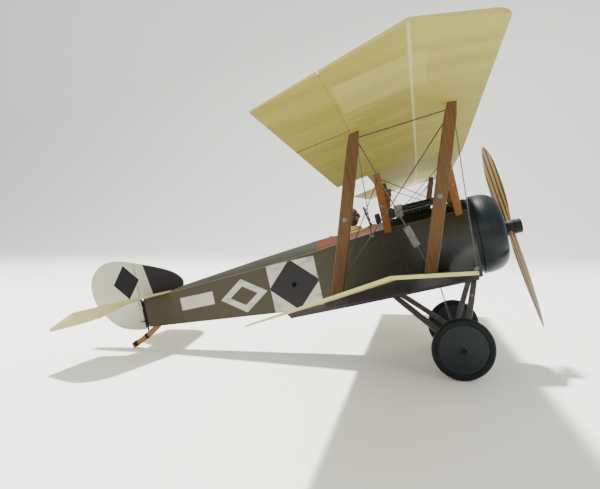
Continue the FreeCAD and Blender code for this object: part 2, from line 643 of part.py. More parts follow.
parts["fin"] = fin()
parts["tailplane"] = trimmed(tailplane(), parts["rear_deck"], parts["fin"])
elevator = drooped(elevator_half())
parts["elevator_left"] = elevator
parts["elevator_right"] = mirror(elevator)
parts["elevator_fittings"] = Part.makeCompound([elevator_joiner, mirror(drooped(elevator_horn()))])
rudder_horn_plan = [(RUDDER_X - 0.5, 0.6), (RUDDER_X - 0.5, 4.2), (RUDDER_X - 1.4, 4.6), (RUDDER_X - 3.4, 0.6)]
rudder_horn_left = slab_xy(rudder_horn_plan, 41.0, 41.8)
parts["rudder"] = rudder().fuse(rudder_horn_left).fuse(mirror(rudder_horn_left))
sternpost = rod(V(FUSE_END_X - 0.5, 0, 38.0), V(FUSE_END_X - 0.5, 0, TAIL_Z - 1.4), 0.5)


def skid_line():
    """Middle of the skid, from its seat in the floor to the shoe that meets the ground."""
    pitch = math.radians(PITCH)
    ground = (-SKID_END_X * math.sin(pitch) - WHEEL_R) / math.cos(pitch)
    return [(-164.6, 39.0), (-168.9, 36.2), (-174.6, 33.0), (-180.4, 30.4), (SKID_END_X + 1.2, ground + 1.0)]


def tail_skid():
    """Bent wooden skid with a foot cut level with the ground."""
    line = skid_line()
    upper_edge = []
    lower_edge = []
    for n, (x, z) in enumerate(line):
        xa, za = line[max(n - 1, 0)]
        xb, zb = line[min(n + 1, len(line) - 1)]
        run = math.hypot(xb - xa, zb - za)
        nx, nz = (zb - za) / run, -(xb - xa) / run
        upper_edge.append((x + nx * 1.5, z + nz * 1.5))
        lower_edge.append((x - nx * 1.5, z - nz * 1.5))
    shape = slab_xz(upper_edge + lower_edge[::-1], -1.1, 1.1)
    under = Part.makeBox(400, 40, 40, V(-300, -20, -40 - WHEEL_R))
    under.rotate(V(0, 0, 0), V(0, 1, 0), PITCH)
    return shape.cut(under).cut(parts["fuselage_floor"]).cut(parts["tail_block"])


def skid_bindings(skid):
    """Thread lashings round the skid, at the stay wire and at the shoe."""
    line = skid_line()
    bands = []
    for leg, share, wide in ((3, 0.55, 2.2), (2, 0.12, 1.6)):
        (xa, za), (xb, zb) = line[leg], line[leg + 1]
        x = xa + (xb - xa) * share
        z = za + (zb - za) * share
        angle = math.degrees(math.atan2(zb - za, xb - xa))
        block = Part.makeBox(wide, 2.8, 3.6, V(-wide / 2, -1.4, -1.8))
        block.rotate(V(0, 0, 0), V(0, 1, 0), -angle)
        block.translate(V(x, 0, z))
        bands.append(block.cut(skid))
    return Part.makeCompound(bands)


skid = largest(tail_skid())
parts["tail_skid"] = skid
parts["skid_bindings"] = skid_bindings(skid)
stay = trimmed(rod(V(FUSE_END_X - 1.9, 0, TAIL_Z - 1.6), V(-173.6, 0, 34.0), 0.3), skid, parts["skid_bindings"])
clip = Part.makeBox(0.9, 1.0, 0.8, V(FUSE_END_X - 1.95, -0.5, 41.4))
parts["stern_wires"] = Part.makeCompound([sternpost, stay, clip])


# --- Cockpit, pilot and gun -----------------------------------------------------------------
def ellipsoid(centre, rx, ry, rz):
    ball = Part.makeSphere(1.0)
    stretch = FreeCAD.Matrix()
    stretch.scale(rx, ry, rz)
    ball = ball.transformGeometry(stretch)
    ball.translate(centre)
    return ball


floor_plan = [(-28.0, 12.7), (-50.0, 12.7), (-60.0, 11.8)]
cockpit_floor = slab_xy(floor_plan + [(x, -y) for x, y in floor_plan[::-1]], 54.0, 54.8)
dashboard = slab_xz([(-28.0, 54.9), (-28.0, 64.8), (-28.8, 64.8), (-28.8, 54.9)], -10.5, 10.5)
dashboard = trimmed(dashboard, parts["cockpit_coaming"], parts["front_deck"])
parts["cockpit_boards"] = Part.makeCompound([cockpit_floor, dashboard])
parts["pilot_seat"] = Part.makeBox(1.0, 12.0, 7.0, V(-52.0, -6.0, 54.8)).fuse(
    Part.makeBox(11.0, 12.0, 1.0, V(-52.0, -6.0, 54.8)))
torso = ellipsoid(V(-43.5, 0, 58.0), 6.6, 7.6, 8.6)
torso = torso.common(Part.makeBox(40, 40, 40, V(-51.0, -20, 55.8)))
collar = ellipsoid(V(-41.0, 0, 66.0), 4.6, 4.4, 2.3)
head = ellipsoid(V(-40.6, 0, 73.6), 4.3, 3.7, 5.1)
parts["pilot_head"] = head
parts["pilot_scarf"] = largest(collar.cut(head))
parts["pilot_body"] = largest(torso.cut(collar).cut(head))
decks = [parts["front_deck"], parts["cockpit_coaming"]]


def gun():
    """Machine gun on the front deck: receiver, round jacket and muzzle."""
    jacket_z = 71.6
    shape = Part.makeBox(6.0, 2.6, 5.4, V(-23.4, -1.3, 67.6))
    shape = shape.fuse(rod(V(-17.4, 0, jacket_z), V(6.0, 0, jacket_z), 1.7))
    return shape.fuse(rod(V(6.0, 0, jacket_z), V(8.0, 0, jacket_z), 1.0))


gun_shape = trimmed(gun(), *decks)
feed = Part.makeBox(4.2, 5.6, 7.0, V(-17.4, -2.8, 67.0))
parts["gun"] = gun_shape
parts["gun_feed_block"] = trimmed(feed, gun_shape, *decks)
gun_post = trimmed(Part.makeBox(1.6, 2.4, 6.0, V(1.0, -1.2, 65.0)), gun_shape, *decks)
parts["gun_mount"] = Part.makeCompound([gun_post, rod(V(-13.2, -2.3, 69.9), V(3.0, -2.3, 70.3), 0.3)])
screen = slab_xz([(-31.0, 66.4), (-32.6, 76.8), (-33.2, 76.7), (-31.6, 66.3)], -4.5, 4.5)
parts["windscreen"] = trimmed(screen, *decks)
parts["windscreen_pad"] = trimmed(Part.makeBox(3.0, 7.0, 5.9, V(-28.4, -3.5, 66.4)), *decks)
parts["pilot_body"] = trimmed(parts["pilot_body"], cockpit_floor, parts["pilot_seat"], *decks)
parts["pilot_scarf"] = trimmed(parts["pilot_scarf"], *decks)


# --- Fittings and rigging -------------------------------------------------------------------
def lug(point, size=1.6):
    """Small metal plate at a strut's end, where the wires meet."""
    return Part.makeBox(size, 0.5, size, point - V(size / 2, 0.25, size / 2))


def both_sides(shapes):
    return Part.makeCompound(shapes + [mirror(shape) for shape in shapes])


def wires(pairs, *cutters):
    """Taut wires between point pairs, each trimmed where it meets what holds it."""
    return [trimmed(rod(start, end, WIRE_R), *cutters) for start, end in pairs]


low_rear, high_rear = strut_ends["rear"]
low_front, high_front = strut_ends["front"]
face = V(0, -STRUT_T / 2 - 0.25, 0)
tuck = V(0, 0, 1.7)
top_rear = high_rear + face - tuck
top_front = high_front + face - tuck
low_rear = low_rear + face + tuck
low_front = low_front + face + tuck
nose_anchor = V(15.5, HALF_WIDTH + 3.2, 33.8)
seam_anchor = V(-31.0, HALF_WIDTH + 0.4, 61.0)
cabane_anchor = {place: cabane_ends[place][1] + V(0.7, 1.4, -2.0) for place in cabane_ends}

lugs = [lug(point) for point in (top_rear, top_front, low_rear, low_front)]
lugs = [trimmed(plate, *posts_left) for plate in lugs]
anchors = [Part.makeBox(2.4, 2.0, 1.8, point - V(1.2, 1.6, 0.9)) for point in (nose_anchor, seam_anchor)]
anchors = [trimmed(block, side_left, *decks) for block in anchors]
inner = V(0, -0.45, 0)
flying = wires([(top_front + inner, nose_anchor), (top_rear + inner, seam_anchor)],
               *lugs, *anchors, side_left, *cabane_left)
landing = wires([(low_rear + inner, cabane_anchor["rear"]), (low_front + inner, cabane_anchor["front"])],
                *lugs, *cabane_left, upper_panel, centre)
incidence = wires([(top_rear, top_front), (top_rear + V(0, 0.5, 0), low_front + V(0, 0.5, 0)),
                   (top_front + inner, low_rear + inner)], *lugs, *posts_left)
parts["wing_wires"] = both_sides(flying + landing + incidence)


def cabane_wires():
    """Crossed wires between the centre struts: one pair in each side bay and one across the front."""
    low = {place: cabane_ends[place][0] + V(0, 0, 2.4) for place in cabane_ends}
    high = {place: cabane_ends[place][1] + V(0, 0, -2.0) for place in cabane_ends}
    side = wires([(high["rear"] + V(0, -0.3, 0), low["front"] + V(0, -0.3, 0)),
                  (high["front"] + V(0, 0.3, 0), low["rear"] + V(0, 0.3, 0))], *cabane_left)
    flip = FreeCAD.Matrix()
    flip.scale(1, -1, 1)
    apart = V(0.3, 0, 0)
    across = [(high["front"] + apart, flip.multiply(low["front"]) + apart),
              (flip.multiply(high["front"]) - apart, low["front"] - apart)]
    cutters = cabane_left + [mirror(post) for post in cabane_left] + decks
    return both_sides(side).Solids + wires(across, *cutters)


def gear_wires():
    """Crossed wires from the belly to the far end of the axle."""
    pairs = [(V(-3.4, -LEG_TOP_Y, BELLY_Z), V(-1.2, LEG_FOOT_Y - 1.4, 0.3)),
             (V(-2.8, LEG_TOP_Y, BELLY_Z), V(-0.6, 1.4 - LEG_FOOT_Y, 0.3))]
    return wires(pairs, parts["belly_pan"], axle, *legs_left, *[mirror(leg) for leg in legs_left])


parts["centre_wires"] = Part.makeCompound(cabane_wires() + gear_wires())

# A flat tin label is crimped on each wire that runs from the rear strut's top to the front foot.
tag_at = top_rear + (low_front - top_rear) * 0.76 + V(0, 0.5, 0)
tag_run = (low_front - top_rear).normalize()
tag = Part.makeBox(2.3, 0.7, 7.2, V(-1.15, -0.35, -3.6))
tag.rotate(V(0, 0, 0), V(0, 1, 0), math.degrees(math.atan2(tag_run.x, tag_run.z)))
tag.translate(tag_at)
tag = largest(tag.cut(rod(top_rear + V(0, 0.5, 0), low_front + V(0, 0.5, 0), WIRE_R)))
parts["rigging_fittings"] = both_sides(lugs + anchors + [tag])


# --- Stand the model on the floor -----------------------------------------------------------
def stand(shape):
    placed = shape.copy()
    placed.rotate(V(0, 0, 0), V(0, 1, 0), -PITCH)
    placed.translate(V(0, 0, WHEEL_R))
    return placed


placed = {name: stand(shape) for name, shape in parts.items()}
extent = FreeCAD.BoundBox()
for shape in placed.values():
    extent.add(shape.BoundBox)
shift = V(-(extent.XMin + extent.XMax) / 2, 0, 0)
os.makedirs("parts", exist_ok=True)
for name, shape in placed.items():
    shape.translate(shift)
    shape.exportStep("parts/" + name + ".step")
print("parts", len(placed), "shift", shift.x, extent)
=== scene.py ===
import math

import bmesh
import bpy
from mathutils import Matrix, Vector
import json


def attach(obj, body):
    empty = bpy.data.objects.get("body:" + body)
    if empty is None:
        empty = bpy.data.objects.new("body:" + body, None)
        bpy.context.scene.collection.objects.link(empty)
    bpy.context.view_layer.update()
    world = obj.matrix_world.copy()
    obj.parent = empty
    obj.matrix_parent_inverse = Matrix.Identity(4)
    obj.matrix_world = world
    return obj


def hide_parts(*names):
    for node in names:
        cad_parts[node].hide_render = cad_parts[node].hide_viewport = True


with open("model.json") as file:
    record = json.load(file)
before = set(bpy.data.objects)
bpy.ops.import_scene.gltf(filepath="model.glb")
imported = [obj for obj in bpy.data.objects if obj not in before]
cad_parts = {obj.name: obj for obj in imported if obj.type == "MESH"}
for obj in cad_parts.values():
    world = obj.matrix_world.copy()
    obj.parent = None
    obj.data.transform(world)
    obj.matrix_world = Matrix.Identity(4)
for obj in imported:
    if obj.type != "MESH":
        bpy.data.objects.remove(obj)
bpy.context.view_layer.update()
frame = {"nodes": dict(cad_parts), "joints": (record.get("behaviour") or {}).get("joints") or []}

# --- Stance ---------------------------------------------------------------------------------
# The model stands nose up on two wheels and its tail skid. Every piece is laid out in the
# aeroplane's own axes, in millimetres from the middle of the axle: forward along the thrust
# line, out to port, and up.
nodes = frame["nodes"]
joints = {joint["name"]: joint for joint in frame["joints"]}
forward = Vector(joints["propeller_spin"]["axis"])
port = Vector((0, 1, 0))
up = Vector((-forward.z, 0, forward.x))
axle_middle = Vector(joints["wheel_left_spin"]["pos_m"])
axle_middle.y = 0
MM = 0.001


def at(x, y, z):
    return axle_middle + (forward * x + port * y + up * z) * MM


# --- Fuselage sides -------------------------------------------------------------------------
# Printed sheet foam, one sheet a side, glued to the floor and swelling into the cheek behind
# the cowl. The print gives it dark olive linen, faint frames and stringers, and pale marks.
# Below the lower wing's root the side is painted dark purple as the wing's shade.
class Value:
    """A number that varies over a surface. The usual signs add the nodes that work it out."""

    def __init__(self, paint, socket):
        self.paint = paint
        self.socket = socket

    def work(self, operation, *values):
        return self.paint.add("ShaderNodeMath", {"operation": operation}, dict(enumerate(values)))

    def __add__(self, other):
        return self.work("ADD", self, other)

    def __sub__(self, other):
        return self.work("SUBTRACT", self, other)

    def __rsub__(self, other):
        return self.work("SUBTRACT", other, self)

    def __mul__(self, other):
        return self.work("MULTIPLY", self, other)

    def __truediv__(self, other):
        return self.work("DIVIDE", self, other)

    def __abs__(self):
        return self.work("ABSOLUTE", self)

    def __or__(self, other):
        return self.work("MAXIMUM", self, other)

    def __and__(self, other):
        return self.work("MINIMUM", self, other)

    __radd__ = __add__
    __rmul__ = __mul__


class Paint:
    """One finish. Its constants sit on the shader, and wear() links what varies."""

    def __init__(self, name, **constants):
        self.material = bpy.data.materials.new(name)
        self.material.use_nodes = True
        self.tree = self.material.node_tree
        self.shader = self.tree.nodes["Principled BSDF"]
        for socket, number in constants.items():
            self.shader.inputs[socket.replace("_", " ").title().replace("Ior", "IOR")].default_value = number

    def add(self, kind, settings=None, inputs=None, output=0):
        node = self.tree.nodes.new(kind)
        for key, setting in (settings or {}).items():
            if key == "stops":
                while len(node.color_ramp.elements) < len(setting):
                    node.color_ramp.elements.new(1.0)
                for element, (place, colour) in zip(node.color_ramp.elements, setting):
                    element.position = place
                    element.color = (*colour, 1)
            else:
                setattr(node, key, setting)
        for key, given in (inputs or {}).items():
            self.feed(node.inputs[key], given)
        return Value(self, node.outputs[output])

    def feed(self, socket, given):
        if isinstance(given, Value):
            self.tree.links.new(given.socket, socket)
        elif socket.type == "RGBA":
            socket.default_value = (*given, 1)
        else:
            socket.default_value = given

    def along(self, output, origin=(0, 0, 0), scale=1.0):
        """The place or the facing of a point, split into the aeroplane's three axes."""
        point = self.add("ShaderNodeTexCoord", output=output)
        moved = self.add("ShaderNodeVectorMath", {"operation": "SUBTRACT"}, {0: point, 1: origin})
        return [self.add("ShaderNodeVectorMath", {"operation": "DOT_PRODUCT"}, {0: moved, 1: axis * scale}, 1)
                for axis in (forward, port, up)]

    def place(self):
        return self.along(3, axle_middle, 1 / MM)

    def facing(self):
        return self.along(1)

    def mist(self, spot, size, detail=3.0, rough=0.55):
        """Soft random marks, 0 to 1. size is how far apart they are along each axis, in mm."""
        vector = self.add("ShaderNodeCombineXYZ", None,
                          {n: axis / wide for n, (axis, wide) in enumerate(zip(spot, size))})
        return self.add("ShaderNodeTexNoise", None,
                        {"Vector": vector, "Scale": 1.0, "Detail": detail, "Roughness": rough})

    def rise(self, value, edge, soft=0.15):
        """0 below the edge and 1 above it."""
        return self.add("ShaderNodeMapRange", {"interpolation_type": "SMOOTHSTEP"},
                        {"Value": value, "From Min": edge - soft, "From Max": edge + soft})

    def band(self, value, low, high, soft=0.15):
        return self.rise(value, low, soft) & (1 - self.rise(value, high, soft))

    def lines(self, value, pitch, wide, soft=0.12):
        """1 on thin lines repeated at a pitch."""
        counted = value / pitch
        share = counted.work("FRACT", counted)
        return self.band(share, 0.5 - wide / pitch / 2, 0.5 + wide / pitch / 2, soft / pitch)

    def mix(self, under, over, share):
        return self.add("ShaderNodeMix", {"data_type": "RGBA"}, {0: share, 6: under, 7: over}, 2)

    def layers(self, colour, *coats):
        for share, over in coats:
            colour = self.mix(colour, over, share)
        return colour

    def wear(self, colour=None, rough=None, height=None, depth=0.1, metal=None, coat=None):
        """Links what varies; depth is the relief's height in mm."""
        for socket, given in (("Base Color", colour), ("Roughness", rough), ("Metallic", metal),
                              ("Coat Weight", coat)):
            if given is not None:
                self.feed(self.shader.inputs[socket], given)
        if height is not None:
            bump = self.add("ShaderNodeBump", None, {"Strength": 1.0, "Distance": depth * MM, "Height": height})
            self.feed(self.shader.inputs["Normal"], bump)
        return self

    def on(self, *names):
        """Puts this finish on CAD nodes."""
        for name in names:
            mesh = nodes[name].data
            mesh.materials.clear()
            mesh.materials.append(self.material)
        return self


def ink(red, green, blue):
    """A colour as it looks under the bright lights, from 0 to 255, as the share of light it gives back."""
    return tuple(0.62 * (c / 255) ** 2.2 for c in (red, green, blue))


OLIVE = ink(66, 62, 40)
DARK_OLIVE = ink(30, 29, 18)
NIGHT_GREEN = ink(8, 16, 14)
PALE = ink(196, 196, 178)
MARK_BLACK = ink(26, 22, 22)
LINE = ink(104, 98, 74)
LOZENGE = (-77.5, 44.6)      # middle of the big mark on each side, forward and up


def lozenge(paint, across, high, middle, reach):
    """A diamond mark: 1 inside it."""
    return 1 - paint.rise(abs(across - middle[0]) / reach[0] + abs(high - middle[1]) / reach[1], 1.0, 0.012)


side = Paint("printed side sheet", specular_ior_level=0.32, coat_roughness=0.28)
x, y, z = side.place()
cloud = side.mist((x, y, z), (16, 16, 9))
weave = side.mist((x, y, z), (0.35, 0.35, 0.35), 1.0)
streak = side.mist((x, y, z), (60, 20, 3.0), 4.0)
ahead = side.rise(x, -34.0, 34.0)
nose = side.rise(x, -10.0, 10.0)
linen = side.layers(OLIVE, (cloud * 0.35, ink(76, 70, 46)), (streak * 0.3, ink(48, 44, 30)),
                    (ahead * 0.85, DARK_OLIVE), (nose * 0.8, NIGHT_GREEN))
slope = (z - 46.0) - x * 0.03
frames = side.lines(x + 3.0, 9.3, 0.35) & side.band(x, -56.0, -9.0, 1.0) & side.band(slope, -13.0, 12.0, 0.5)
stringers = side.lines(slope + 2.0, 8.5, 0.3) & side.band(x, -56.0, -9.0, 1.0) & side.band(slope, -13.0, 12.0, 0.5)
rear_frames = side.lines(x + 4.0, 14.6, 0.25) & side.band(x, -170.0, -92.0, 1.0)
white_bar = side.band(x, -147.0, -126.0) & side.band(z, 43.2, 50.4)
hollow = (lozenge(side, x, z, (-107.5, 44.3), (14.2, 9.4))
          & (1 - lozenge(side, x, z, (-107.5, 44.3), (8.4, 5.4))))
panel = side.band(x, -91.3, -63.7) & side.band(z, 31.4, 57.6)
diamond = lozenge(side, x, z, LOZENGE, (14.6, 14.0))
# Painted shade: the lower part of the side, under the lower wing, is painted dark purple.
painted_shade_under_wing = (1 - side.rise(z, 34.0, 0.4)) & side.rise(x, -63.0, 0.4)
soil = side.mist((x, y, z), (7, 7, 3.5), 4.0)
marks = (white_bar | hollow | panel) & (1 - (panel & diamond))
chalk = side.mix(PALE, ink(150, 148, 130), side.rise(soil, 0.62, 0.14))
side.wear(
    side.layers(linen, (frames * 0.18, LINE), (stringers * 0.18, LINE),
                (rear_frames * 0.25, ink(44, 39, 28)),
                (panel & diamond, MARK_BLACK), (marks, chalk), (painted_shade_under_wing * 0.9, ink(30, 24, 28))),
    0.62 - nose * 0.34 + cloud * 0.1,
    weave * 0.5 + frames + stringers * 0.8 + rear_frames * 0.9, 0.06, coat=nose * 0.9)
side.on("fuselage_side_left", "fuselage_side_right")


def placed(name, shapes, paint, body="airframe", sharp=38, instead_of=()):
    """Joins shapes of (points, faces), in the aeroplane's axes, into one piece that rides on a body."""
    points = []
    faces = []
    for corners, sides in shapes:
        faces += [[index + len(points) for index in loop] for loop in sides]
        points += corners
    mesh = bpy.data.meshes.new(name)
    mesh.from_pydata([at(*point) for point in points], [], faces)
    mesh.validate()
    tidy = bmesh.new()
    tidy.from_mesh(mesh)
    bmesh.ops.recalc_face_normals(tidy, faces=tidy.faces)
    tidy.to_mesh(mesh)
    tidy.free()
    mesh.shade_smooth()
    mesh.set_sharp_from_angle(angle=math.radians(sharp))
    mesh.materials.append(paint.material)
    made = bpy.data.objects.new(name, mesh)
    bpy.context.scene.collection.objects.link(made)
    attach(made, body)
    if instead_of:
        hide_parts(*instead_of)
    return made


def pipe(route, radius, closed=False, ring=8):
    """A round rod or thread that follows a route; radius may be one number or one for each point."""
    route = [Vector(point) for point in route]
    count = len(route)
    radii = radius if isinstance(radius, list) else [radius] * count
    points = []
    normal = None
    for n, point in enumerate(route):
        before = route[n - 1] if n or closed else point
        after = route[(n + 1) % count] if n < count - 1 or closed else point
        run = (after - before).normalized()
        if normal is None:
            normal = run.orthogonal().normalized()
        normal = (normal - run * normal.dot(run)).normalized()
        other = run.cross(normal)
        for k in range(ring):
            turn = math.tau * k / ring
            points.append(tuple(point + (normal * math.cos(turn) + other * math.sin(turn)) * radii[n]))
    faces = []
    for n in range(count if closed else count - 1):
        here, there = n * ring, (n + 1) % count * ring
        faces += [(here + k, here + (k + 1) % ring, there + (k + 1) % ring, there + k) for k in range(ring)]
    if not closed:
        faces += [tuple(range(ring))[::-1], tuple(range((count - 1) * ring, count * ring))]
    return points, faces


# The seam between each side and the deck is closed with a thin rolled edge of the same sheet.
SEAM = [(17.6, 63.2), (-28.0, 62.6), (-61.2, 59.4), (-100.0, 57.0), (-152.0, 54.9)]


FULL_HALF_WIDTH = 14.0       # of the fuselage, from the cowl back to the cockpit
TAPER_STARTS = -50           # behind this the sides close in towards the tail
TAPER_LENGTH = 121
TAPER_IN = 10.6              # how far each side has come in by the stern


def half_width(x):
    behind = TAPER_STARTS - x
    return FULL_HALF_WIDTH if behind <= 0 else FULL_HALF_WIDTH - TAPER_IN * behind / TAPER_LENGTH


beading = Paint("rolled seam edge", specular_ior_level=0.4)
x, y, z = beading.place()
beading.wear(beading.mix(ink(88, 84, 64), ink(58, 54, 40), beading.mist((x, y, z), (5, 5, 5))),
             0.6 + beading.mist((x, y, z), (2, 2, 2)) * 0.2)
seams = []
for hand in (-1, 1):
    run = []
    for (xa, za), (xb, zb) in zip(SEAM, SEAM[1:]):
        for n in range(12):
            share = n / 12
            run.append((xa + (xb - xa) * share, za + (zb - za) * share))
    run.append(SEAM[-1])
    seams.append(pipe([(a, hand * half_width(a), b) for a, b in run], 0.28, ring=6))
placed("seam_beading", seams, beading)

# --- Deck, coaming and belly ----------------------------------------------------------------
# Curved sheets over the sides: grey-green in front and behind, bare orange-brown round the
# cockpit. The belly pan under the wing roots is dark purple-brown and a little glossy.
deck = Paint("printed deck sheet", specular_ior_level=0.12)
x, y, z = deck.place()
cloud = deck.mist((x, y, z), (14, 9, 9))
weave = deck.mist((x, y, z), (0.35, 0.35, 0.35), 1.0)
front = deck.rise(x, -20.0, 12.0)
ridge = deck.lines(x + 2.0, 14.6, 0.25) & (1 - deck.rise(x, -62.0, 0.5))
deck.wear(deck.layers(ink(60, 60, 44), (cloud * 0.5, ink(44, 46, 34)), (ridge * 0.4, ink(36, 36, 28)),
                      (front * 0.9, ink(24, 27, 22))),
          0.72 - front * 0.2 + cloud * 0.1, weave * 0.5 + ridge, 0.06)
deck.on("front_deck", "rear_deck")

veneer = Paint("orange-brown coaming", specular_ior_level=0.05)
x, y, z = veneer.place()
grain = veneer.mist((x, y, z), (26, 1.6, 1.6), 5.0)
flecks = veneer.mist((x, y, z), (6, 0.5, 0.5), 2.0)
veneer.wear(veneer.layers(ink(100, 56, 14), (veneer.rise(grain, 0.5, 0.16) * 0.6, ink(78, 42, 10)),
                          (veneer.rise(flecks, 0.62, 0.08) * 0.45, ink(66, 36, 22))),
            0.5 + grain * 0.15, grain + flecks * 0.5, 0.05)
veneer.on("cockpit_coaming")

belly = Paint("belly sheet", specular_ior_level=0.3)
x, y, z = belly.place()
cloud = belly.mist((x, y, z), (12, 5, 5))
belly.wear(belly.layers(ink(58, 46, 50), (cloud * 0.6, ink(40, 33, 38)),
                        (belly.lines(x, 14.6, 0.3) * 0.4, ink(28, 24, 26))),
           0.42 + cloud * 0.2, belly.mist((x, y, z), (0.4, 0.4, 0.4), 1.0), 0.04)
belly.on("belly_pan", "fuselage_floor")

plywood = Paint("bare plywood", specular_ior_level=0.35)
x, y, z = plywood.place()
grain = plywood.mist((x, y, z), (1.2, 18, 1.2), 5.0)
plywood.wear(plywood.layers(ink(186, 152, 108), (plywood.rise(grain, 0.52, 0.14) * 0.55, ink(150, 112, 72))),
             0.6 + grain * 0.2, grain, 0.05)
plywood.on("firewall", "tail_block", "nose_block", "cockpit_boards", "pilot_seat")

# The cockpit's edge is bound with a roll of stitched leather.
leather = Paint("brown leather", specular_ior_level=0.5)
x, y, z = leather.place()
pores = leather.mist((x, y, z), (0.45, 0.45, 0.45), 3.0)
patina = leather.mist((x, y, z), (2.2, 2.2, 2.2), 3.0)
leather.wear(leather.layers(ink(88, 52, 32), (patina * 0.7, ink(54, 32, 22))), 0.42 + patina * 0.25, pores, 0.12)


def crown_level(x):
    crown = [(18.0, 69.3), (-27.0, 66.8), (-61.2, 65.3), (-94.0, 62.6), (-144.5, 57.6), (-153.0, 56.2)]
    for (xa, za), (xb, zb) in zip(crown, crown[1:]):
        if xb <= x <= xa:
            return za + (zb - za) * (x - xa) / (xb - xa)
    return crown[0][1]


def seam_level(x):
    for (xa, za), (xb, zb) in zip(SEAM, SEAM[1:]):
        if xb <= x <= xa:
            return za + (zb - za) * (x - xa) / (xb - xa)
    return SEAM[0][1]


def deck_level(x, y):
    """Height of the deck's outside at a point: an arc from seam to seam."""
    wide = half_width(x)
    high = crown_level(x) - seam_level(x)
    radius = (wide * wide + high * high) / (2 * high)
    return crown_level(x) - radius + math.sqrt(max(radius * radius - y * y, 0.0))


rim = []
for n in range(72):
    turn = math.tau * n / 72
    a, b = -42.0 + 12.5 * math.cos(turn), 8.0 * math.sin(turn)
    rim.append((a, b, deck_level(a, b) - 0.35))
placed("cockpit_rim", [pipe(rim, 0.75, closed=True, ring=10)], leather)
thread = Paint("waxed thread", specular_ior_level=0.3)
x, y, z = thread.place()
thread.wear(thread.mix(ink(214, 196, 156), ink(150, 126, 84), thread.mist((x, y, z), (1, 1, 1))), 0.8)
laces = []
for n in range(0, 72, 2):
    centre = Vector(rim[n])
    away = Vector((math.cos(math.tau * n / 72) / 12.5, math.sin(math.tau * n / 72) / 8.0, 0)).normalized()
    laces.append(pipe([tuple(centre + away * (0.82 * math.cos(t)) + Vector((0, 0, 0.82 * math.sin(t))))
                       for t in [math.radians(step) for step in range(-30, 151, 30)]], 0.09, ring=5))
placed("rim_lacing", laces, thread)

# --- Cowl and engine ------------------------------------------------------------------------
# A thin moulded shell, black with a blue-green sheen, pushed over a ring on the fuselage
# front. In its mouth sits a dummy rotary: nine finned cylinders, push rods and plug leads.
THRUST_Z = 49.4
cowl = Paint("black moulded shell", specular_ior_level=0.22)
x, y, z = cowl.place()
cloud = cowl.mist((x, y, z), (7, 7, 7), 4.0)
haze = cowl.mist((x, y, z), (1.2, 1.2, 1.2), 3.0)
cowl.wear(cowl.layers(ink(20, 33, 35), (cloud * 0.7, ink(10, 18, 20)),
                       (cowl.rise(haze, 0.66, 0.06) * 0.25, ink(50, 62, 62))),
          0.34 + cloud * 0.14, haze, 0.02)
cowl.on("cowl", "cowl_ring")


def spun(profile, origin, axis=(1, 0, 0), turns=48):
    """A turned shape: its outline gives (distance along the axis, radius) from open end to end."""
    axis = Vector(axis).normalized()
    first = axis.orthogonal().normalized()
    second = axis.cross(first)
    points = []
    for along, radius in profile:
        for k in range(turns):
            turn = math.tau * k / turns
            points.append(tuple(Vector(origin) + axis * along
                                + (first * math.cos(turn) + second * math.sin(turn)) * radius))
    faces = []
    for n in range(len(profile) - 1):
        here, there = n * turns, (n + 1) * turns
        faces += [(here + k, here + (k + 1) % turns, there + (k + 1) % turns, there + k) for k in range(turns)]
    faces += [tuple(range(turns))[::-1], tuple(range((len(profile) - 1) * turns, len(profile) * turns))]
    return points, faces


def box(middle, size, round_off=0.15, turn=None):
    """A block with rounded edges, turned by a matrix about its middle if one is given."""
    work = bmesh.new()
    bmesh.ops.create_cube(work, size=1.0)
    bmesh.ops.scale(work, vec=size, verts=work.verts)
    bmesh.ops.bevel(work, geom=list(work.edges), offset=round_off, segments=2, affect="EDGES")
    if turn is not None:
        bmesh.ops.transform(work, matrix=turn, verts=work.verts)
    bmesh.ops.translate(work, vec=middle, verts=work.verts)
    work.verts.index_update()
    shape = ([tuple(v.co) for v in work.verts], [[v.index for v in face.verts] for face in work.faces])
    work.free()
    return shape


steel = Paint("bare steel", metallic=1.0)
x, y, z = steel.place()
stain = steel.mist((x, y, z), (1.5, 1.5, 1.5), 4.0)
steel.wear(steel.layers(ink(176, 178, 176), (steel.rise(stain, 0.56, 0.12) * 0.5, ink(110, 108, 104))),
           0.28 + stain * 0.25, steel.mist((x, y, z), (4, 0.15, 0.15), 2.0), 0.01)
engine = Paint("cast engine grey", metallic=0.55, specular_ior_level=0.5)
x, y, z = engine.place()
stain = engine.mist((x, y, z), (2, 2, 2), 4.0)
squared = y * y + (z - THRUST_Z) * (z - THRUST_Z)
from_axis = squared.work("SQRT", squared)
engine.wear(engine.layers(ink(118, 118, 114), (stain * 0.7, ink(64, 62, 60)),
                          (engine.rise(from_axis, 15.0, 2.5) * 0.6, ink(58, 50, 44))),
            0.42 + stain * 0.2, engine.mist((x, y, z), (0.4, 0.4, 0.4), 2.0), 0.05)
engine.on("dummy_rotary")
copper = Paint("copper pipe", metallic=1.0)
x, y, z = copper.place()
copper.wear(copper.mix(ink(176, 108, 70), ink(104, 62, 44), copper.mist((x, y, z), (2, 2, 2), 3.0)), 0.34)
rods = []
plugs = []
pipes = []
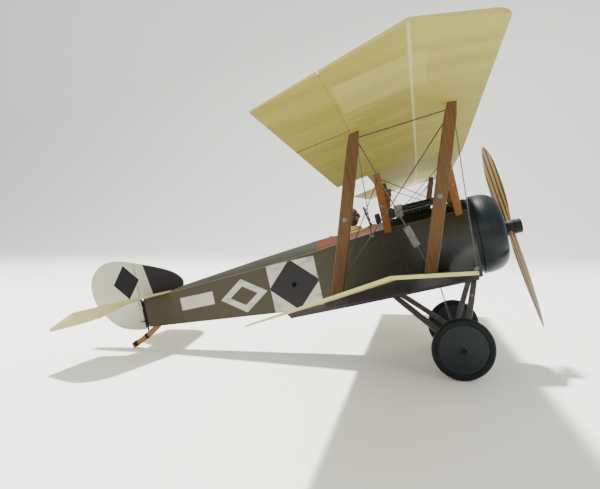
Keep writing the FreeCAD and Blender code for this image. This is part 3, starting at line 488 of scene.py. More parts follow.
for n in range(9):
    turn = math.radians(n * 40.0)
    out = Vector((0, math.sin(turn), math.cos(turn)))
    beside = Vector((0, math.cos(turn), -math.sin(turn)))
    hub = Vector((28.2, 0, THRUST_Z))
    for shift in (-0.75, 0.75):
        rods.append(pipe([tuple(hub + out * 4.6 + beside * shift),
                          tuple(hub + out * 16.4 + beside * shift * 1.3)], 0.22))
    head = hub + out * 16.6 - Vector((0.6, 0, 0))
    rods.append(box(tuple(head), (1.0, 2.4, 0.7), 0.12, Matrix.Rotation(-turn, 3, "X")))
    plugs.append(spun([(0, 0.5), (0.7, 0.5), (0.7, 0.3), (1.6, 0.3)],
                      tuple(hub + out * 14.0 + beside * 1.5 - Vector((1.4, 0, 0))),
                      (1, 0.0, 0.0), 10))
    pipes.append(pipe([tuple(Vector((24.0, 0, THRUST_Z)) + out * r + beside * s)
                       for r, s in ((5.2, 1.8), (8.0, 2.9), (12.0, 3.3), (15.4, 2.8))], 0.55))
placed("push_rods", rods, steel)
placed("spark_plugs", plugs, steel)
placed("intake_pipes", pipes, copper)
brass = Paint("bearing tube", metallic=1.0)
x, y, z = brass.place()
brass.wear(brass.mix(ink(196, 162, 92), ink(128, 98, 52), brass.mist((x, y, z), (3, 3, 3))), 0.32)
brass.on("thrust_bearing")
steel.on("prop_shaft", "gun_mount", "elevator_fittings")

# --- Propeller ------------------------------------------------------------------------------
# Two blades carved from a stack of light and dark wood, so that the layers show as long
# stripes. A black driver tube is clamped over the boss and stands out in front.
PROP_ROLL = math.radians(31.0)
blade_axis = Vector((0, math.sin(PROP_ROLL), math.cos(PROP_ROLL)))
blade_wood = Paint("laminated propeller wood", specular_ior_level=0.3, coat_weight=0.2, coat_roughness=0.2)
x, y, z = blade_wood.place()
reach = y * blade_axis.y + (z - THRUST_Z) * blade_axis.z
aside = y * blade_axis.z - (z - THRUST_Z) * blade_axis.y
fine = blade_wood.mist((x, aside, reach), (0.5, 0.5, 16), 4.0)
wander = blade_wood.mist((x, aside, reach), (6, 6, 22), 2.0)
dark = blade_wood.lines(x + wander * 0.5, 1.5, 0.62, 0.1)
blade_wood.wear(blade_wood.layers(ink(170, 136, 80), (blade_wood.rise(fine, 0.5, 0.2) * 0.4, ink(132, 100, 54)),
                                  (dark * 0.92, ink(40, 30, 20)),
                                  (blade_wood.rise(fine, 0.62, 0.1) * 0.3, ink(40, 28, 18))),
                0.36 + fine * 0.15, fine + dark * 0.3, 0.03)
blade_wood.on("propeller")
hub_black = Paint("black driver tube", specular_ior_level=0.18)
x, y, z = hub_black.place()
scuff = hub_black.mist((x, y, z), (1.6, 1.6, 1.6), 4.0)
hub_black.wear(hub_black.layers(ink(5, 12, 14), (hub_black.rise(scuff, 0.62, 0.1) * 0.3, ink(30, 40, 42))),
               0.32 + scuff * 0.2, scuff, 0.03)
hub_black.on("prop_hub", "motor_peg")
bands = []
for station in (35.7, 36.2, 39.6, 40.1):
    bands.append(pipe([(station, 3.72 * math.cos(t), THRUST_Z + 3.72 * math.sin(t))
                       for t in [math.tau * k / 40 for k in range(40)]], 0.14, closed=True, ring=6))
placed("hub_rings", bands, hub_black, "propeller_unit")

# --- Wings ----------------------------------------------------------------------------------
# Creased foam sheets: dark olive print on top, yellow-olive below with the cream foam
# bare at every edge. Rib tapes run from nose to tail, and the ailerons hang on a slit.
# The underside carries painted shade towards the roots and in broad bands, painted light
# under the pale marks on top and ahead of the crease, and a painted highlight on the crease.
# The slit's faces and the cord at its inner end are painted dark as the shade in the slit.
foam = Paint("printed wing sheet", specular_ior_level=0.2)
x, y, z = foam.place()
_, ny, nz = foam.facing()
cloud = foam.mist((x, y, z), (26, 34, 30), 3.0)
brushed = foam.mist((x, y, z), (34, 5, 30), 4.0)
cells = foam.mist((x, y, z), (0.5, 0.5, 0.5), 2.0)
below = 1 - foam.rise(nz, -0.5, 0.1)
above = foam.rise(nz, 0.5, 0.1)
ribs = foam.lines(y, 13.2, 0.5, 0.2)
soft_ribs = foam.lines(y, 13.2, 3.4, 1.6)
upper_wing = foam.rise(z, 70.0, 1.0)
tip = abs(y)
badge = foam.band(tip, 138.0, 162.0) & foam.band(x, -21.0, 3.0) & upper_wing
badge_dark = lozenge(foam, tip, x, (150.0, -9.0), (12.4, 12.4)) & badge
cream = foam.mix(ink(224, 222, 146), ink(188, 184, 108), foam.mist((x, y, z), (3, 3, 3), 3.0))
# Painted shade: the faces of the aileron slit are painted dark as the shade inside it.
slit = 1 - foam.rise(abs(tip - 119.8), 1.1, 0.2)
tip_edge = foam.rise(abs(ny), 0.5, 0.1) & upper_wing
# Painted highlight: a pale line along the crease on the underside.
fold = foam.band(x, -1.5, -0.7, 0.2) & upper_wing
# Painted shadow: broad chordwise bands, darker patches of shade on the underside.
shadow_bands = foam.mist((x, y, z), (44, 9, 60), 1.0)
# Painted light: the underside's face ahead of the crease is painted lighter.
ahead = foam.rise(x, -1.0, 0.8)
# Underside colour: painted shade darkens it towards the roots, inside 100 mm of the middle.
underside = foam.layers(ink(182, 170, 78), ((1 - foam.rise(tip, 100.0, 60.0)) * 0.6, ink(150, 139, 56)),
                        (foam.rise(brushed, 0.45, 0.25) * 0.3, ink(160, 147, 56)),
                        (foam.rise(shadow_bands, 0.52, 0.03) * 0.35, ink(146, 132, 42)),
                        # Painted light: the underside is lighter under the pale marks printed on top, as light
                        # through the sheet, and lighter ahead of the crease.
                        (badge * 0.3, ink(222, 212, 130)), (ahead * 0.3, ink(212, 202, 112)),
                        (1 - foam.rise(x, -150.0, 1.0), ink(204, 196, 122)),
                        (soft_ribs * 0.1, ink(150, 136, 74)), (ribs * 0.1, ink(132, 118, 62)),
                        (fold * 0.5, ink(236, 230, 176)))
# The slit's faces get the dark painted shade here.
cream = foam.layers(cream, (tip_edge * 0.8, ink(176, 166, 84)), (slit & upper_wing, ink(70, 58, 52)))
topside = foam.layers(ink(70, 68, 44), (foam.rise(brushed, 0.42, 0.2) * 0.6, ink(50, 54, 36)),
                      (cloud * 0.4, ink(92, 82, 54)), (ribs * 0.5, ink(96, 92, 66)),
                      (badge, PALE), (badge_dark, MARK_BLACK))
foam.wear(foam.layers(cream, (below, underside), (above, topside)),
          0.58 + brushed * 0.12, cells * 0.6 + ribs * 0.7, 0.07)
# A cord painted dark as the shade in the slit closes the slit at each aileron's inner end, and a
# round cord of the same foam lies in its hinge, on the line that it turns about.
slit_cords = []
hinge_cords = []
for hand in (-1, 1):
    slit_cords.append(pipe([(-21.9, hand * 120, 94.0), (-31.0, hand * 120, 92.8), (-40.2, hand * 120, 91.55)],
                           0.32, ring=8))
    hinge_cords.append(pipe([(-22.0, hand * b, 94.05 + (b - 120) * 0.0498) for b in (120.5, 146, 171.2)],
                            0.3, ring=8))
slit_shade_cord = Paint("slit cord painted as shade", specular_ior_level=0.2)
x, y, z = slit_shade_cord.place()
slit_shade_cord.wear(slit_shade_cord.mix(ink(70, 54, 50), ink(44, 36, 34), slit_shade_cord.mist((x, y, z), (2, 1, 1))), 0.8)
placed("aileron_slit_cords", slit_cords, slit_shade_cord)
placed("aileron_hinge_cords", hinge_cords, foam)
foam.on("upper_wing_centre", "upper_wing_left", "upper_wing_right", "aileron_left", "aileron_right",
        "lower_wing_left", "lower_wing_right")

# --- Struts ---------------------------------------------------------------------------------
# Flat hardwood slats, stained brown between the wings and orange-brown at the centre, with a
# small steel stud through each where its wires are made fast. The undercarriage legs are dark.
LEAN = -0.045      # how far the wing struts lean, forward for each step up


def stained(name, pale, deep, lean=0.0, wander=1.0):
    wood = Paint(name, specular_ior_level=0.3)
    x, y, z = wood.place()
    grain = wood.mist((x + z * lean, y, z * 0.02), (0.9, 0.9, 1.0), 5.0, 0.65)
    broad = wood.mist((x, y, z), (4.0 * wander, 4.0 * wander, 26.0), 3.0)
    wood.wear(wood.layers(pale, (wood.rise(grain, 0.5, 0.14) * 0.5, deep), (broad * 0.45, deep)),
              0.5 + grain * 0.16, grain, 0.05)
    return wood


stained("stained strut wood", ink(122, 86, 42), ink(82, 54, 26), LEAN).on(
    "interplane_struts_left", "interplane_struts_right")
stained("orange strut wood", ink(152, 96, 42), ink(100, 60, 24), -0.02).on(
    "cabane_struts_left", "cabane_struts_right")
stained("dark leg wood", ink(92, 88, 84), ink(56, 53, 52)).on("gear_legs_left", "gear_legs_right")
STUDS = [((-30.4, 115.2, 66.5), (0, 1, 0)), ((0.8, 115.2, 67.0), (0, 1, 0)),
         ((-22.0, 21.2, 74.0), (0, 0.9, -0.44)), ((12.8, 22.2, 76.4), (0, 0.9, -0.44)),
         ((10.5, 16.6, 21.4), (0, 0.85, 0.53))]
studs = []
for (a, b, c), (u, v, w) in STUDS:
    for hand in (1, -1):
        studs.append(spun([(-0.2, 0.95), (0.2, 0.9), (0.42, 0.55), (0.48, 0.02)], (a, b * hand, c),
                          (u, v * hand, w), 16))
zinc = Paint("dull zinc stud", metallic=0.5, specular_ior_level=0.5)
x, y, z = zinc.place()
stain = zinc.mist((x, y, z), (0.8, 0.8, 0.8), 3.0)
zinc.wear(zinc.mix(ink(150, 142, 130), ink(92, 86, 78), stain), 0.45 + stain * 0.2, stain, 0.05)
placed("strut_studs", studs, zinc)

# --- Undercarriage and wheels ---------------------------------------------------------------
# Two vees of dark wood meet at a steel axle, which is lashed to them with black cord. Each
# wheel is a black cone-faced disc with a ring of stitches, inside a round rubber tyre.
lashing = Paint("black lashing cord", specular_ior_level=0.3)
x, y, z = lashing.place()
lashing.wear(lashing.mix(ink(30, 30, 30), ink(58, 56, 52), lashing.lines(x + y + z, 0.5, 0.25, 0.1)), 0.85,
             lashing.lines(x + y + z, 0.5, 0.25, 0.1), 0.05)
loops = []
for hand in (-1, 1):
    for n in range(6):
        loops.append(pipe([(2.0 * math.cos(t), hand * (28.5 + n * 0.5), 2.0 * math.sin(t))
                           for t in [math.tau * k / 28 for k in range(28)]], 0.27, closed=True, ring=6))
placed("axle_lashing", loops, lashing)

tyre = Paint("black tyre rubber", specular_ior_level=0.22)
x, y, z = tyre.place()
dust = tyre.mist((x, y, z), (3, 1.5, 3), 4.0)
tyre.wear(tyre.layers(ink(14, 26, 26), (tyre.rise(dust, 0.6, 0.12) * 0.3, ink(50, 58, 56))),
          0.52 + dust * 0.2, tyre.lines(y, 0.5, 0.2, 0.1) + dust, 0.03)
tyre.on("tyre_left", "tyre_right")
cover = Paint("black wheel cover", specular_ior_level=0.3)
x, y, z = cover.place()
squared = x * x + z * z
outward = squared.work("SQRT", squared)
turned = z.work("ARCTAN2", z, x)
stitches = cover.lines(turned, math.tau / 96, 0.03, 0.006) & cover.band(outward, 10.5, 10.8, 0.1)
rings = cover.band(outward, 11.3, 11.6) | cover.band(outward, 2.6, 2.9)
dust = cover.mist((x, y, z), (4, 2, 4), 4.0)
cover.wear(cover.layers(ink(30, 40, 44), (dust * 0.6, ink(20, 26, 30)), (stitches * 0.45, ink(92, 98, 98)),
                        (rings * 0.5, ink(14, 16, 18)), (cover.rise(dust, 0.64, 0.08) * 0.2, ink(84, 88, 86))),
           0.42 + dust * 0.2, stitches - rings + dust * 0.2, 0.07)
cover.on("wheel_disc_left", "wheel_disc_right")
for hand, wheel in ((1, "wheel_left"), (-1, "wheel_right")):
    hub = spun([(3.0, 2.3), (3.35, 2.3), (3.5, 2.0), (3.5, 0.75)], (0, hand * 35.1, 0), (0, hand, 0), 32)
    bead = [pipe([(11.75 * math.cos(t), hand * (35.1 + side * 1.75), 11.75 * math.sin(t))
                  for t in [math.tau * k / 72 for k in range(72)]], 0.3, closed=True, ring=8) for side in (-1, 1)]
    placed(wheel + "_trim", [hub] + bead, cover, wheel)
# The axle is blued steel, and its end collars are painted black.
blued = Paint("blued steel axle", metallic=0.7, specular_ior_level=0.5)
x, y, z = blued.place()
stain = blued.mist((x, y, z), (1.5, 1.5, 1.5), 4.0)
painted = blued.rise(abs(y), 30.6, 0.2)
blued.wear(blued.layers(ink(112, 112, 110), (stain * 0.5, ink(70, 70, 70)), (painted, ink(20, 22, 24)),
                        (painted & blued.rise(stain, 0.6, 0.08) * 0.4, ink(74, 78, 80))), 0.36 + stain * 0.2)
blued.on("axle")

# --- Tail -----------------------------------------------------------------------------------
# Flat sheets. The fin is dark in front of a slanting line and pale behind it, the rudder pale
# with a dark diamond, and the tailplane and elevators are made as the wings are.
foam.on("tailplane", "elevator_left", "elevator_right")
placed("elevator_hinge_cords", [pipe([(-172.1, hand * b, 55.6) for b in (9.6, 38, 66.9)], 0.42, ring=10)
                                for hand in (-1, 1)], foam)
tail = Paint("printed tail sheet", specular_ior_level=0.2)
x, y, z = tail.place()
_, ny, nz = tail.facing()
rim_edge = 1 - tail.rise(abs(ny), 0.5, 0.1)
soft = tail.mist((x, y, z), (7, 7, 5), 3.0)
fine = tail.mist((x, y, z), (0.4, 0.4, 0.4), 2.0)
streak = tail.mist((x, y, z), (4, 4, 22), 4.0)
boundary = x + (z - 56.4) * 0.164 + 165.7
dark_part = tail.rise(boundary, 0.0, 0.25)
edge_line = tail.band(boundary, -1.1, 0.0, 0.2)
ribs = tail.lines(z, 7.5, 0.3, 0.15) & (1 - tail.rise(x, -175.5, 0.4))
mark = lozenge(tail, x, z, (-181.4, 66.4), (8.6, 10.4))
band_round = lozenge(tail, x, z, (-181.4, 66.4), (10.4, 12.2))
tail.wear(tail.layers(ink(212, 212, 184), (soft * 0.5, ink(188, 188, 160)), (ribs * 0.25, ink(150, 150, 138)),
                      (band_round * 0.5, ink(214, 214, 206)), (mark, MARK_BLACK),
                      (edge_line * 0.6, ink(206, 206, 196)),
                      (dark_part, tail.mix(ink(26, 22, 26), ink(36, 33, 24), streak)),
                      (rim_edge * 0.7, ink(150, 146, 126))),
          0.6 - dark_part * 0.12 + soft * 0.1, fine + ribs * 0.8, 0.05)
tail.on("fin", "rudder")
stained("varnished skid wood", ink(186, 130, 62), ink(130, 84, 40), 0.0, 0.5).on("tail_skid")
# Black cord is wound round the skid where the stay wire and the shoe are.
windings = []
for (a, c), (u, w), wide in (((-183.26, 29.54), (-0.958, -0.287), 2.2), ((-175.3, 32.69), (-0.912, -0.409), 1.6)):
    count = round(wide / 0.44)
    for n in range(count):
        shift = (n - (count - 1) / 2) * 0.44
        loop = []
        for k in range(24):
            turn = math.tau * k / 24
            flat = 1.3 * math.copysign(abs(math.cos(turn)) ** 0.5, math.cos(turn))
            high = 1.56 * math.copysign(abs(math.sin(turn)) ** 0.5, math.sin(turn))
            loop.append((a + u * shift - w * high, flat, c + w * shift + u * high))
        windings.append(pipe(loop, 0.22, closed=True, ring=6))
placed("skid_winding", windings, lashing, instead_of=("skid_bindings",))
# Thread hinges: short loops through both sheets along each hinge line.
sewn = []
for station in (14, 30, 46, 60):
    for hand in (-1, 1):
        for shift in (-0.5, 0.5):
            sewn.append(pipe([(-172.1 + 1.5 * math.cos(t), hand * station + shift, 55.6 + 0.7 * math.sin(t))
                              for t in [math.pi * k / 8 for k in range(-2, 3)]], 0.1, ring=5))
placed("hinge_sewing", sewn, thread)
# A round cord fills the joint between fin and rudder, and dark straps hold the sternpost.
placed("fin_cord", [pipe([(-174.3, 0, 56.4), (-174.3, 0, 66.0), (-174.3, 0, 76.6)], 0.5, ring=10)], tail)
straps = [box((-172.6, 0, c), (3.0, 1.5, 0.8), 0.25) for c in (42.4, 52.6)]
straps.append(pipe([(-174.3, 0, 54.6), (-174.3, 0, 46.0), (-174.3, 0, 37.6)], 0.52, ring=10))
straps += [pipe([(-172.2, hand * 0.9, 54.4), (-172.0, hand * 0.9, 46.6)], 0.5, ring=8) for hand in (-1, 1)]
straps += [pipe([(-172.9, hand * 0.9, 53.6), (-173.3, hand * 0.9, 43.0), (-173.9, 0.4 * hand, 34.2)], 0.26, ring=8)
           for hand in (-1, 1)]
placed("stern_straps", straps, lashing)
lashing.on("stern_wires")

# --- Pilot ----------------------------------------------------------------------------------
# A small moulded figure: a leather coat, a wool scarf, and a head in a flying helmet with
# goggles. The face is plain and calm, on ordinary proportions.
HEAD = Vector((-40.6, 0, 73.4))


def dome(shape_at, across=64, tall=40):
    """A closed ball whose distance from its middle is set for each direction."""
    points = [tuple(shape_at(0.0, math.pi / 2))]
    for row in range(1, tall):
        rise = math.pi / 2 - math.pi * row / tall
        points += [tuple(shape_at(-math.pi + math.tau * k / across, rise)) for k in range(across)]
    points.append(tuple(shape_at(0.0, -math.pi / 2)))
    faces = [(0, 1 + k, 1 + (k + 1) % across) for k in range(across)]
    for row in range(tall - 2):
        here, there = 1 + row * across, 1 + (row + 1) * across
        faces += [(here + k, there + k, there + (k + 1) % across, here + (k + 1) % across) for k in range(across)]
    last = len(points) - 1
    base = last - across
    faces += [(last, base + (k + 1) % across, base + k) for k in range(across)]
    return points, faces


def hump(value, middle, wide):
    return math.exp(-(((value - middle) / wide) ** 2))


def skull(turn, rise, grow=0.0):
    jaw = 1 - 0.2 * max(0.0, -math.sin(rise) - 0.35)
    return Vector((math.cos(rise) * math.cos(turn) * (3.9 + grow),
                   math.cos(rise) * math.sin(turn) * (3.3 + grow) * jaw,
                   math.sin(rise) * (4.8 + grow)))


def face_at(turn, rise):
    side = abs(turn)
    out = (1.0 * hump(side, 0, 0.15) * hump(rise, -0.17, 0.15) + 0.55 * hump(side, 0, 0.12) * hump(rise, 0.02, 0.14)
           + 0.3 * hump(side, 0, 0.6) * hump(rise, 0.22, 0.09) - 0.4 * hump(side, 0.36, 0.17) * hump(rise, 0.05, 0.11)
           + 0.2 * hump(side, 0.55, 0.25) * hump(rise, -0.22, 0.18)
            + 0.3 * hump(side, 0, 0.24) * hump(rise, -0.46, 0.05)
           + 0.28 * hump(side, 0, 0.2) * hump(rise, -0.58, 0.05) - 0.1 * hump(side, 0, 0.3) * hump(rise, -0.52, 0.03)
           + 0.45 * hump(side, 0, 0.34) * hump(rise, -0.82, 0.13))
    return HEAD + skull(turn, rise) + Vector((out, 0, 0))


def helmet_at(turn, rise):
    opening = (turn / 0.86) ** 2 + ((rise + 0.24) / 0.66) ** 2
    edge = min(max((opening - 0.9) / 0.25, 0.0), 1.0)
    seam = 0.08 * hump(turn, 0, 0.05) + 0.08 * hump(abs(turn), math.pi / 2, 0.05)
    ear = 0.3 * hump(abs(turn), math.pi / 2, 0.3) * hump(rise, -0.12, 0.25)
    return HEAD + skull(turn, rise, -0.9 + edge * (1.25 + seam + ear))


flesh = Paint("painted face", specular_ior_level=0.4, subsurface_weight=0.1, subsurface_scale=0.0008)
x, y, z = flesh.place()
blush = flesh.mist((x, y, z), (1.4, 1.4, 1.4), 3.0)
lips = (flesh.band(z, HEAD.z - 2.75, HEAD.z - 1.95, 0.15) & (1 - flesh.rise(abs(y), 0.9, 0.25))
        & flesh.rise(x, HEAD.x + 2.0, 0.3))
flesh.wear(flesh.layers(ink(206, 158, 126), (blush * 0.4, ink(176, 120, 96)), (lips * 0.5, ink(150, 88, 78))),
           0.55 + blush * 0.1, blush, 0.03)
placed("pilot_face", [dome(face_at)], flesh, sharp=180, instead_of=("pilot_head",))
hide = Paint("mottled helmet leather", specular_ior_level=0.5)
x, y, z = hide.place()
patina = hide.mist((x, y, z), (1.3, 1.3, 1.3), 4.0)
pores = hide.mist((x, y, z), (0.3, 0.3, 0.3), 2.0)
hide.wear(hide.layers(ink(44, 32, 24), (hide.rise(patina, 0.5, 0.12) * 0.75, ink(96, 80, 56)),
                      (hide.rise(patina, 0.66, 0.05) * 0.5, ink(150, 132, 96))),
          0.4 + patina * 0.3, pores + patina, 0.1)
placed("pilot_helmet", [dome(helmet_at)], hide, sharp=180)
goggles = []
lenses = []
for hand in (-1, 1):
    aim = Vector((math.cos(0.36), hand * math.sin(0.36), 0.05)).normalized()
    eye = HEAD + skull(0.36 * hand, 0.05) + aim * 0.15
    goggles.append(spun([(-0.5, 1.0), (0.25, 1.15), (0.45, 1.1), (0.45, 0.85), (0.2, 0.82)],
                        tuple(eye), tuple(aim), 28))
    lenses.append(spun([(0.1, 0.9), (0.3, 0.86), (0.4, 0.5), (0.43, 0.02)], tuple(eye), tuple(aim), 28))
strap = [tuple(HEAD + skull(t, 0.08, 0.52 if abs(t) > 0.75 else 0.3))
         for t in [-math.pi + math.tau * k / 60 for k in range(60)]]
goggles.append(pipe(strap, 0.28, closed=True, ring=8))
placed("pilot_goggles", goggles, lashing)
lens = Paint("smoked lens", specular_ior_level=0.7, coat_weight=0.6, coat_roughness=0.05)
x, y, z = lens.place()
lens.wear(lens.mix(ink(44, 50, 48), ink(90, 92, 80), lens.mist((x, y, z), (1, 1, 1))), 0.12)
placed("pilot_lenses", lenses, lens)


def shoulders_at(turn, rise):
    fold = 0.25 * math.sin(turn * 7 + rise * 3) * hump(rise, 0.1, 0.6)
    wide = Vector((math.cos(rise) * math.cos(turn) * (5.6 + fold), math.cos(rise) * math.sin(turn) * (7.2 + fold),
                   math.sin(rise) * 7.4))
    wide.z = max(wide.z, -1.9)
    return Vector((-43.6, 0, 57.8)) + wide


arms = []
for hand in (-1, 1):
    arms.append(pipe([(-43.0, hand * 6.0, 62.4), (-41.0, hand * 7.0, 60.2), (-37.6, hand * 6.0, 58.2),
                      (-34.8, hand * 3.0, 58.0), (-34.2, hand * 1.0, 58.6)], [1.7, 1.8, 1.5, 1.2, 1.1], ring=12))
placed("pilot_coat", [dome(shoulders_at, 56, 28)] + arms, leather, sharp=60, instead_of=("pilot_body",))
placed("control_stick",
       [pipe([(-33.9, 0, 54.8), (-34.0, 0, 57.4), (-34.3, 0, 59.6)], [0.4, 0.4, 0.7], ring=10)], hub_black)
wool = Paint("tan wool scarf", specular_ior_level=0.2, sheen_weight=0.5)
x, y, z = wool.place()
knit = wool.lines(x + z * 0.6, 0.55, 0.3, 0.12) & wool.lines(y - z * 0.5, 0.55, 0.34, 0.12)
shade = wool.mist((x, y, z), (2.4, 2.4, 1.2), 3.0)
wool.wear(wool.layers(ink(236, 204, 84), (shade * 0.5, ink(182, 146, 54)), (knit * 0.3, ink(244, 220, 122))),
          0.85, knit + shade, 0.12)
wraps = []
for height, wide, thick in ((64.9, 4.5, 1.25), (66.3, 4.0, 1.15), (67.4, 3.4, 0.8)):
    route = [(-41.2 + wide * 0.98 * math.cos(t), wide * 0.92 * math.sin(t), height + 0.25 * math.sin(3 * t + height))
             for t in [math.tau * k / 40 for k in range(40)]]
    wraps.append(pipe(route, [thick * (1 + 0.12 * math.sin(n * 0.9 + height)) for n in range(40)],
                      closed=True, ring=12))
placed("pilot_neckcloth", wraps, wool, sharp=180, instead_of=("pilot_scarf",))

# --- Gun, windscreen and instruments --------------------------------------------------------
# A black gun lies on the front deck: receiver, slotted round jacket and flared muzzle, with a
# beige feed block and a bright rod beside it. Behind it a stuffed black pad braces a small screen.
GUN_Z = 71.6
gun = Paint("gun black", metallic=0.4, specular_ior_level=0.5)
x, y, z = gun.place()
worn = gun.mist((x, y, z), (1.5, 1.0, 1.0), 4.0)
round_it = y.work("ARCTAN2", y, z - GUN_Z)
# Painted shade: each slot in the jacket is painted near-black as the shade inside it.
shaded_slots = (gun.lines(x, 2.1, 1.3, 0.12) & gun.lines(round_it, math.tau / 8, 0.32, 0.06) & gun.band(x, -14.6, 4.6, 0.2))
gun.wear(gun.layers(ink(40, 42, 42), (gun.rise(worn, 0.55, 0.12) * 0.4, ink(88, 88, 84)), (shaded_slots, ink(8, 8, 8))),
         0.36 + worn * 0.25, worn * 0.2 - shaded_slots, 0.25)
pieces = [box((-20.4, 0, 70.3), (6.0, 2.6, 5.2), 0.3), box((-6.2, 0, 68.8), (14.6, 2.0, 2.6), 0.35),
          box((-20.6, 0, 73.1), (4.6, 1.9, 0.7), 0.15),
          box((-22.8, 0, 74.0), (0.4, 0.5, 1.6), 0.08), box((3.2, 0, 73.6), (0.4, 0.4, 1.0), 0.08),
          spun([(-17.5, 1.5), (-17.0, 2.15), (-15.4, 2.15), (-15.2, 2.0), (3.8, 2.0), (4.0, 2.15),
                (5.2, 2.15), (5.6, 1.5), (6.0, 1.05), (6.8, 1.1), (7.8, 1.45), (7.9, 0.6), (7.0, 0.5)],
               (0, 0, GUN_Z), (1, 0, 0), 40),
          pipe([(-19.0, 1.3, 70.4), (-19.0, 2.2, 70.4), (-20.4, 2.4, 71.6)], [0.35, 0.35, 0.45], ring=8)]
placed("deck_gun", pieces, gun, instead_of=("gun",))
canvas = Paint("beige feed block", specular_ior_level=0.3)
x, y, z = canvas.place()
grime = canvas.mist((x, y, z), (2, 2, 2), 4.0)
folds = canvas.lines(z + y * 0.1, 1.15, 0.3, 0.15)
canvas.wear(canvas.layers(ink(170, 168, 142), (grime * 0.6, ink(120, 116, 94)), (folds * 0.35, ink(92, 88, 72))),
            0.75, grime - folds, 0.1)
canvas.on("gun_feed_block")
rubberised = Paint("black padding", specular_ior_level=0.4)
x, y, z = rubberised.place()
pores = rubberised.mist((x, y, z), (0.4, 0.4, 0.4), 3.0)
rubberised.wear(rubberised.mix(ink(22, 20, 20), ink(48, 44, 42), rubberised.mist((x, y, z), (2, 2, 2))),
                0.5, pores, 0.08)


def cushion(middle, size, crown, rounds=14):
    """A small stuffed pad: its two broad faces swell in the middle and its sides pull in."""
    points = []
    for n in range(rounds + 1):
        rise = math.pi * (n / rounds - 0.5)
        for k in range(rounds * 2):
            turn = math.pi * k / rounds
            a = math.sin(rise)
            b = math.cos(rise) * math.cos(turn)
            c = math.cos(rise) * math.sin(turn)
            squared = [math.copysign(abs(v) ** power, v) for v, power in ((a, crown), (b, 0.35), (c, 0.35))]
            points.append(tuple(m + w / 2 * v for m, w, v in zip(middle, size, squared)))
    ring = rounds * 2
    faces = [(n * ring + k, n * ring + (k + 1) % ring, (n + 1) * ring + (k + 1) % ring, (n + 1) * ring + k)
             for n in range(rounds) for k in range(ring)]
    return points, faces


pad = placed("screen_cushion", [cushion((-26.9, 0, 69.35), (2.9, 6.9, 5.8), 0.8)], rubberised,
             instead_of=("windscreen_pad",))
pane = Paint("clear screen", roughness=0.06, ior=1.49, transmission_weight=0.85, alpha=0.55)
x, y, z = pane.place()
pane.wear(pane.mix(ink(206, 214, 214), ink(170, 160, 168), pane.mist((x, y, z), (4, 4, 4))))
pane.on("windscreen")
frame_wood = stained("dark screen frame", ink(84, 50, 54), ink(44, 26, 32))
edge = [(-31.2, -4.5, 66.9), (-32.85, -4.5, 76.4), (-32.95, -3.8, 76.9),
        (-32.95, 3.8, 76.9), (-32.85, 4.5, 76.4), (-31.2, 4.5, 66.9)]
placed("windscreen_frame",
       [pipe(edge, 0.45, ring=8), pipe([(-31.0, -4.6, 66.7), (-31.0, 4.6, 66.7)], 0.45)], frame_wood)
stays = [pipe([(-28.2, b, c), (-32.0 - (c - 70) * 0.08, b, c)], 0.18, ring=6)
         for b in (-2.6, 2.6) for c in (68.6, 71.8)]
placed("windscreen_stays", stays, steel)
dials = []
glasses = []
for b, c, r in ((-4.6, 61.2, 1.7), (0.0, 61.8, 2.0), (4.6, 61.2, 1.7), (-2.4, 57.9, 1.1), (2.4, 57.9, 1.1)):
    dials.append(spun([(0, r + 0.3), (0.35, r + 0.3), (0.5, r + 0.1), (0.5, r), (0.3, r)],
                      (-28.85, b, c), (-1, 0, 0), 28))
    glasses.append(spun([(0, r - 0.05), (0.28, r - 0.05), (0.3, 0.02)], (-28.85, b, c), (-1, 0, 0), 28))
placed("dial_bezels", dials, brass)
dial = Paint("dial faces", specular_ior_level=0.6, coat_weight=0.5, coat_roughness=0.05)
x, y, z = dial.place()
dial.wear(dial.mix(ink(24, 24, 24), ink(214, 208, 188), dial.lines(y + z * 0.7, 0.9, 0.12, 0.05)), 0.3)
placed("dial_faces", glasses, dial)

# --- Motor and rigging ----------------------------------------------------------------------
# One loop of tan rubber runs from the shaft's hook to the peg. Grey wires brace the wings,
# the centre struts and the undercarriage, made fast to small plates, with a flat tin plate.
rubber = Paint("tan rubber strip", specular_ior_level=0.4)
x, y, z = rubber.place()
rubber.wear(rubber.mix(ink(196, 160, 104), ink(150, 116, 72), rubber.mist((x, y, z), (8, 1, 1), 3.0)), 0.55,
            rubber.lines(x, 1.4, 0.4, 0.2), 0.05)
rubber.on("rubber_motor")
wire = Paint("grey rigging wire", metallic=0.3, specular_ior_level=0.5)
x, y, z = wire.place()
wire.wear(wire.mix(ink(98, 96, 88), ink(60, 58, 52), wire.lines(x + y + z, 0.8, 0.4, 0.1)), 0.5)
wire.on("wing_wires", "centre_wires")
tin = Paint("dull tin plate", metallic=0.35, specular_ior_level=0.5)
x, y, z = tin.place()
stain = tin.mist((x, y, z), (1.2, 1.2, 1.2), 4.0)
tin.wear(tin.layers(ink(126, 126, 120), (tin.rise(stain, 0.5, 0.15) * 0.5, ink(84, 82, 78))), 0.5 + stain * 0.2,
         tin.lines(z, 1.6, 0.5, 0.2) + stain * 0.4, 0.06)
tin.on("rigging_fittings")

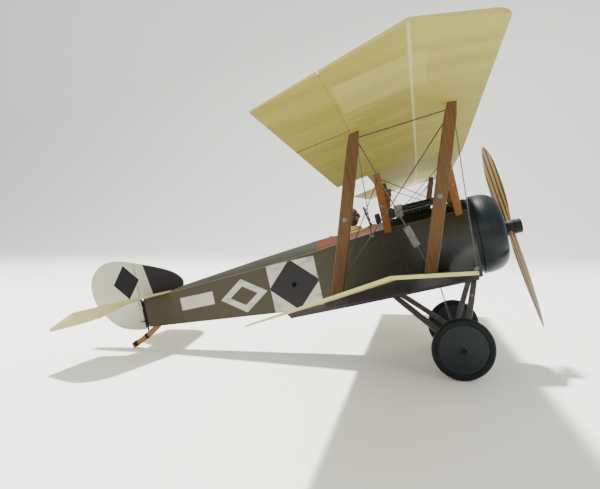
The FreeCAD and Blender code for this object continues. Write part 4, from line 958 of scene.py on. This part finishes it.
# --- Floor, light and camera ----------------------------------------------------------------
# A pale sheet sweeps up behind the model. The main light is high behind its tail, so that the
# shadows fall forward and towards the viewer, with broad soft light from the front.
sweep_points = []
FLOOR_FRONT, CURVE_STARTS, CURVE_RADIUS, WALL_TOP, SWEEP_HALF_WIDTH = -3.0, 1.3, 0.7, 3.2, 12.0
for back, high in ([(FLOOR_FRONT, 0.0), (CURVE_STARTS, 0.0)]
                   + [(CURVE_STARTS + CURVE_RADIUS * math.sin(t), CURVE_RADIUS - CURVE_RADIUS * math.cos(t))
                      for t in [math.radians(9 * k) for k in range(1, 11)]]
                   + [(CURVE_STARTS + CURVE_RADIUS, WALL_TOP)]):
    sweep_points.append((back, high))
mesh = bpy.data.meshes.new("paper_sweep")
mesh.from_pydata([(w, b, h) for b, h in sweep_points
                   for w in (-SWEEP_HALF_WIDTH, SWEEP_HALF_WIDTH)], [],
                 [(2 * n, 2 * n + 1, 2 * n + 3, 2 * n + 2) for n in range(len(sweep_points) - 1)])
mesh.shade_smooth()
paper = Paint("pale paper", specular_ior_level=0.3)
paper.shader.inputs["Base Color"].default_value = (0.90, 0.90, 0.865, 1)
paper.shader.inputs["Roughness"].default_value = 0.7
mesh.materials.append(paper.material)
sweep = bpy.data.objects.new("paper_sweep", mesh)
bpy.context.scene.collection.objects.link(sweep)


def lamp(name, place, target, size, watts, high=None):
    light = bpy.data.lights.new(name, "AREA")
    light.size = size
    if high is not None:
        light.shape = "RECTANGLE"
        light.size_y = high
    light.energy = watts
    made = bpy.data.objects.new(name, light)
    made.location = place
    made.rotation_euler = (Vector(target) - Vector(place)).to_track_quat("-Z", "Y").to_euler()
    bpy.context.scene.collection.objects.link(made)


lamp("main_light", (-0.32, 0.30, 1.35), (0, 0, 0.05), 0.10, 66.0)
lamp("front_light", (1.1, -1.1, 0.8), (0.1, 0, 0.05), 0.6, 3.0)
lamp("strip_light", (-0.15, -1.2, 0.55), (0.1, 0, 0.07), 1.0, 8.0, 0.12)
world = bpy.data.worlds.new("soft room")
world.use_nodes = True
world.node_tree.nodes["Background"].inputs["Color"].default_value = (0.95, 0.97, 1.0, 1)
world.node_tree.nodes["Background"].inputs["Strength"].default_value = 0.95
bpy.context.scene.world = world

EYE = Vector((0.067563, -0.289910, 0.068274))
yaw, pitch, roll = 0.215, -0.021, -0.002
gaze = Vector((-math.sin(yaw) * math.cos(pitch), math.cos(yaw) * math.cos(pitch), math.sin(pitch)))
right = Vector((math.cos(yaw), math.sin(yaw), 0))
top = right.cross(gaze)
right, top = right * math.cos(roll) + top * math.sin(roll), top * math.cos(roll) - right * math.sin(roll)
view = bpy.data.cameras.new("viewer")
view.lens = 31.90
view.sensor_width = 36.0
view.clip_start = 0.01
camera = bpy.data.objects.new("viewer", view)
camera.matrix_world = Matrix.Translation(EYE) @ Matrix((right, top, -gaze)).transposed().to_4x4()
bpy.context.scene.collection.objects.link(camera)
bpy.context.scene.camera = camera
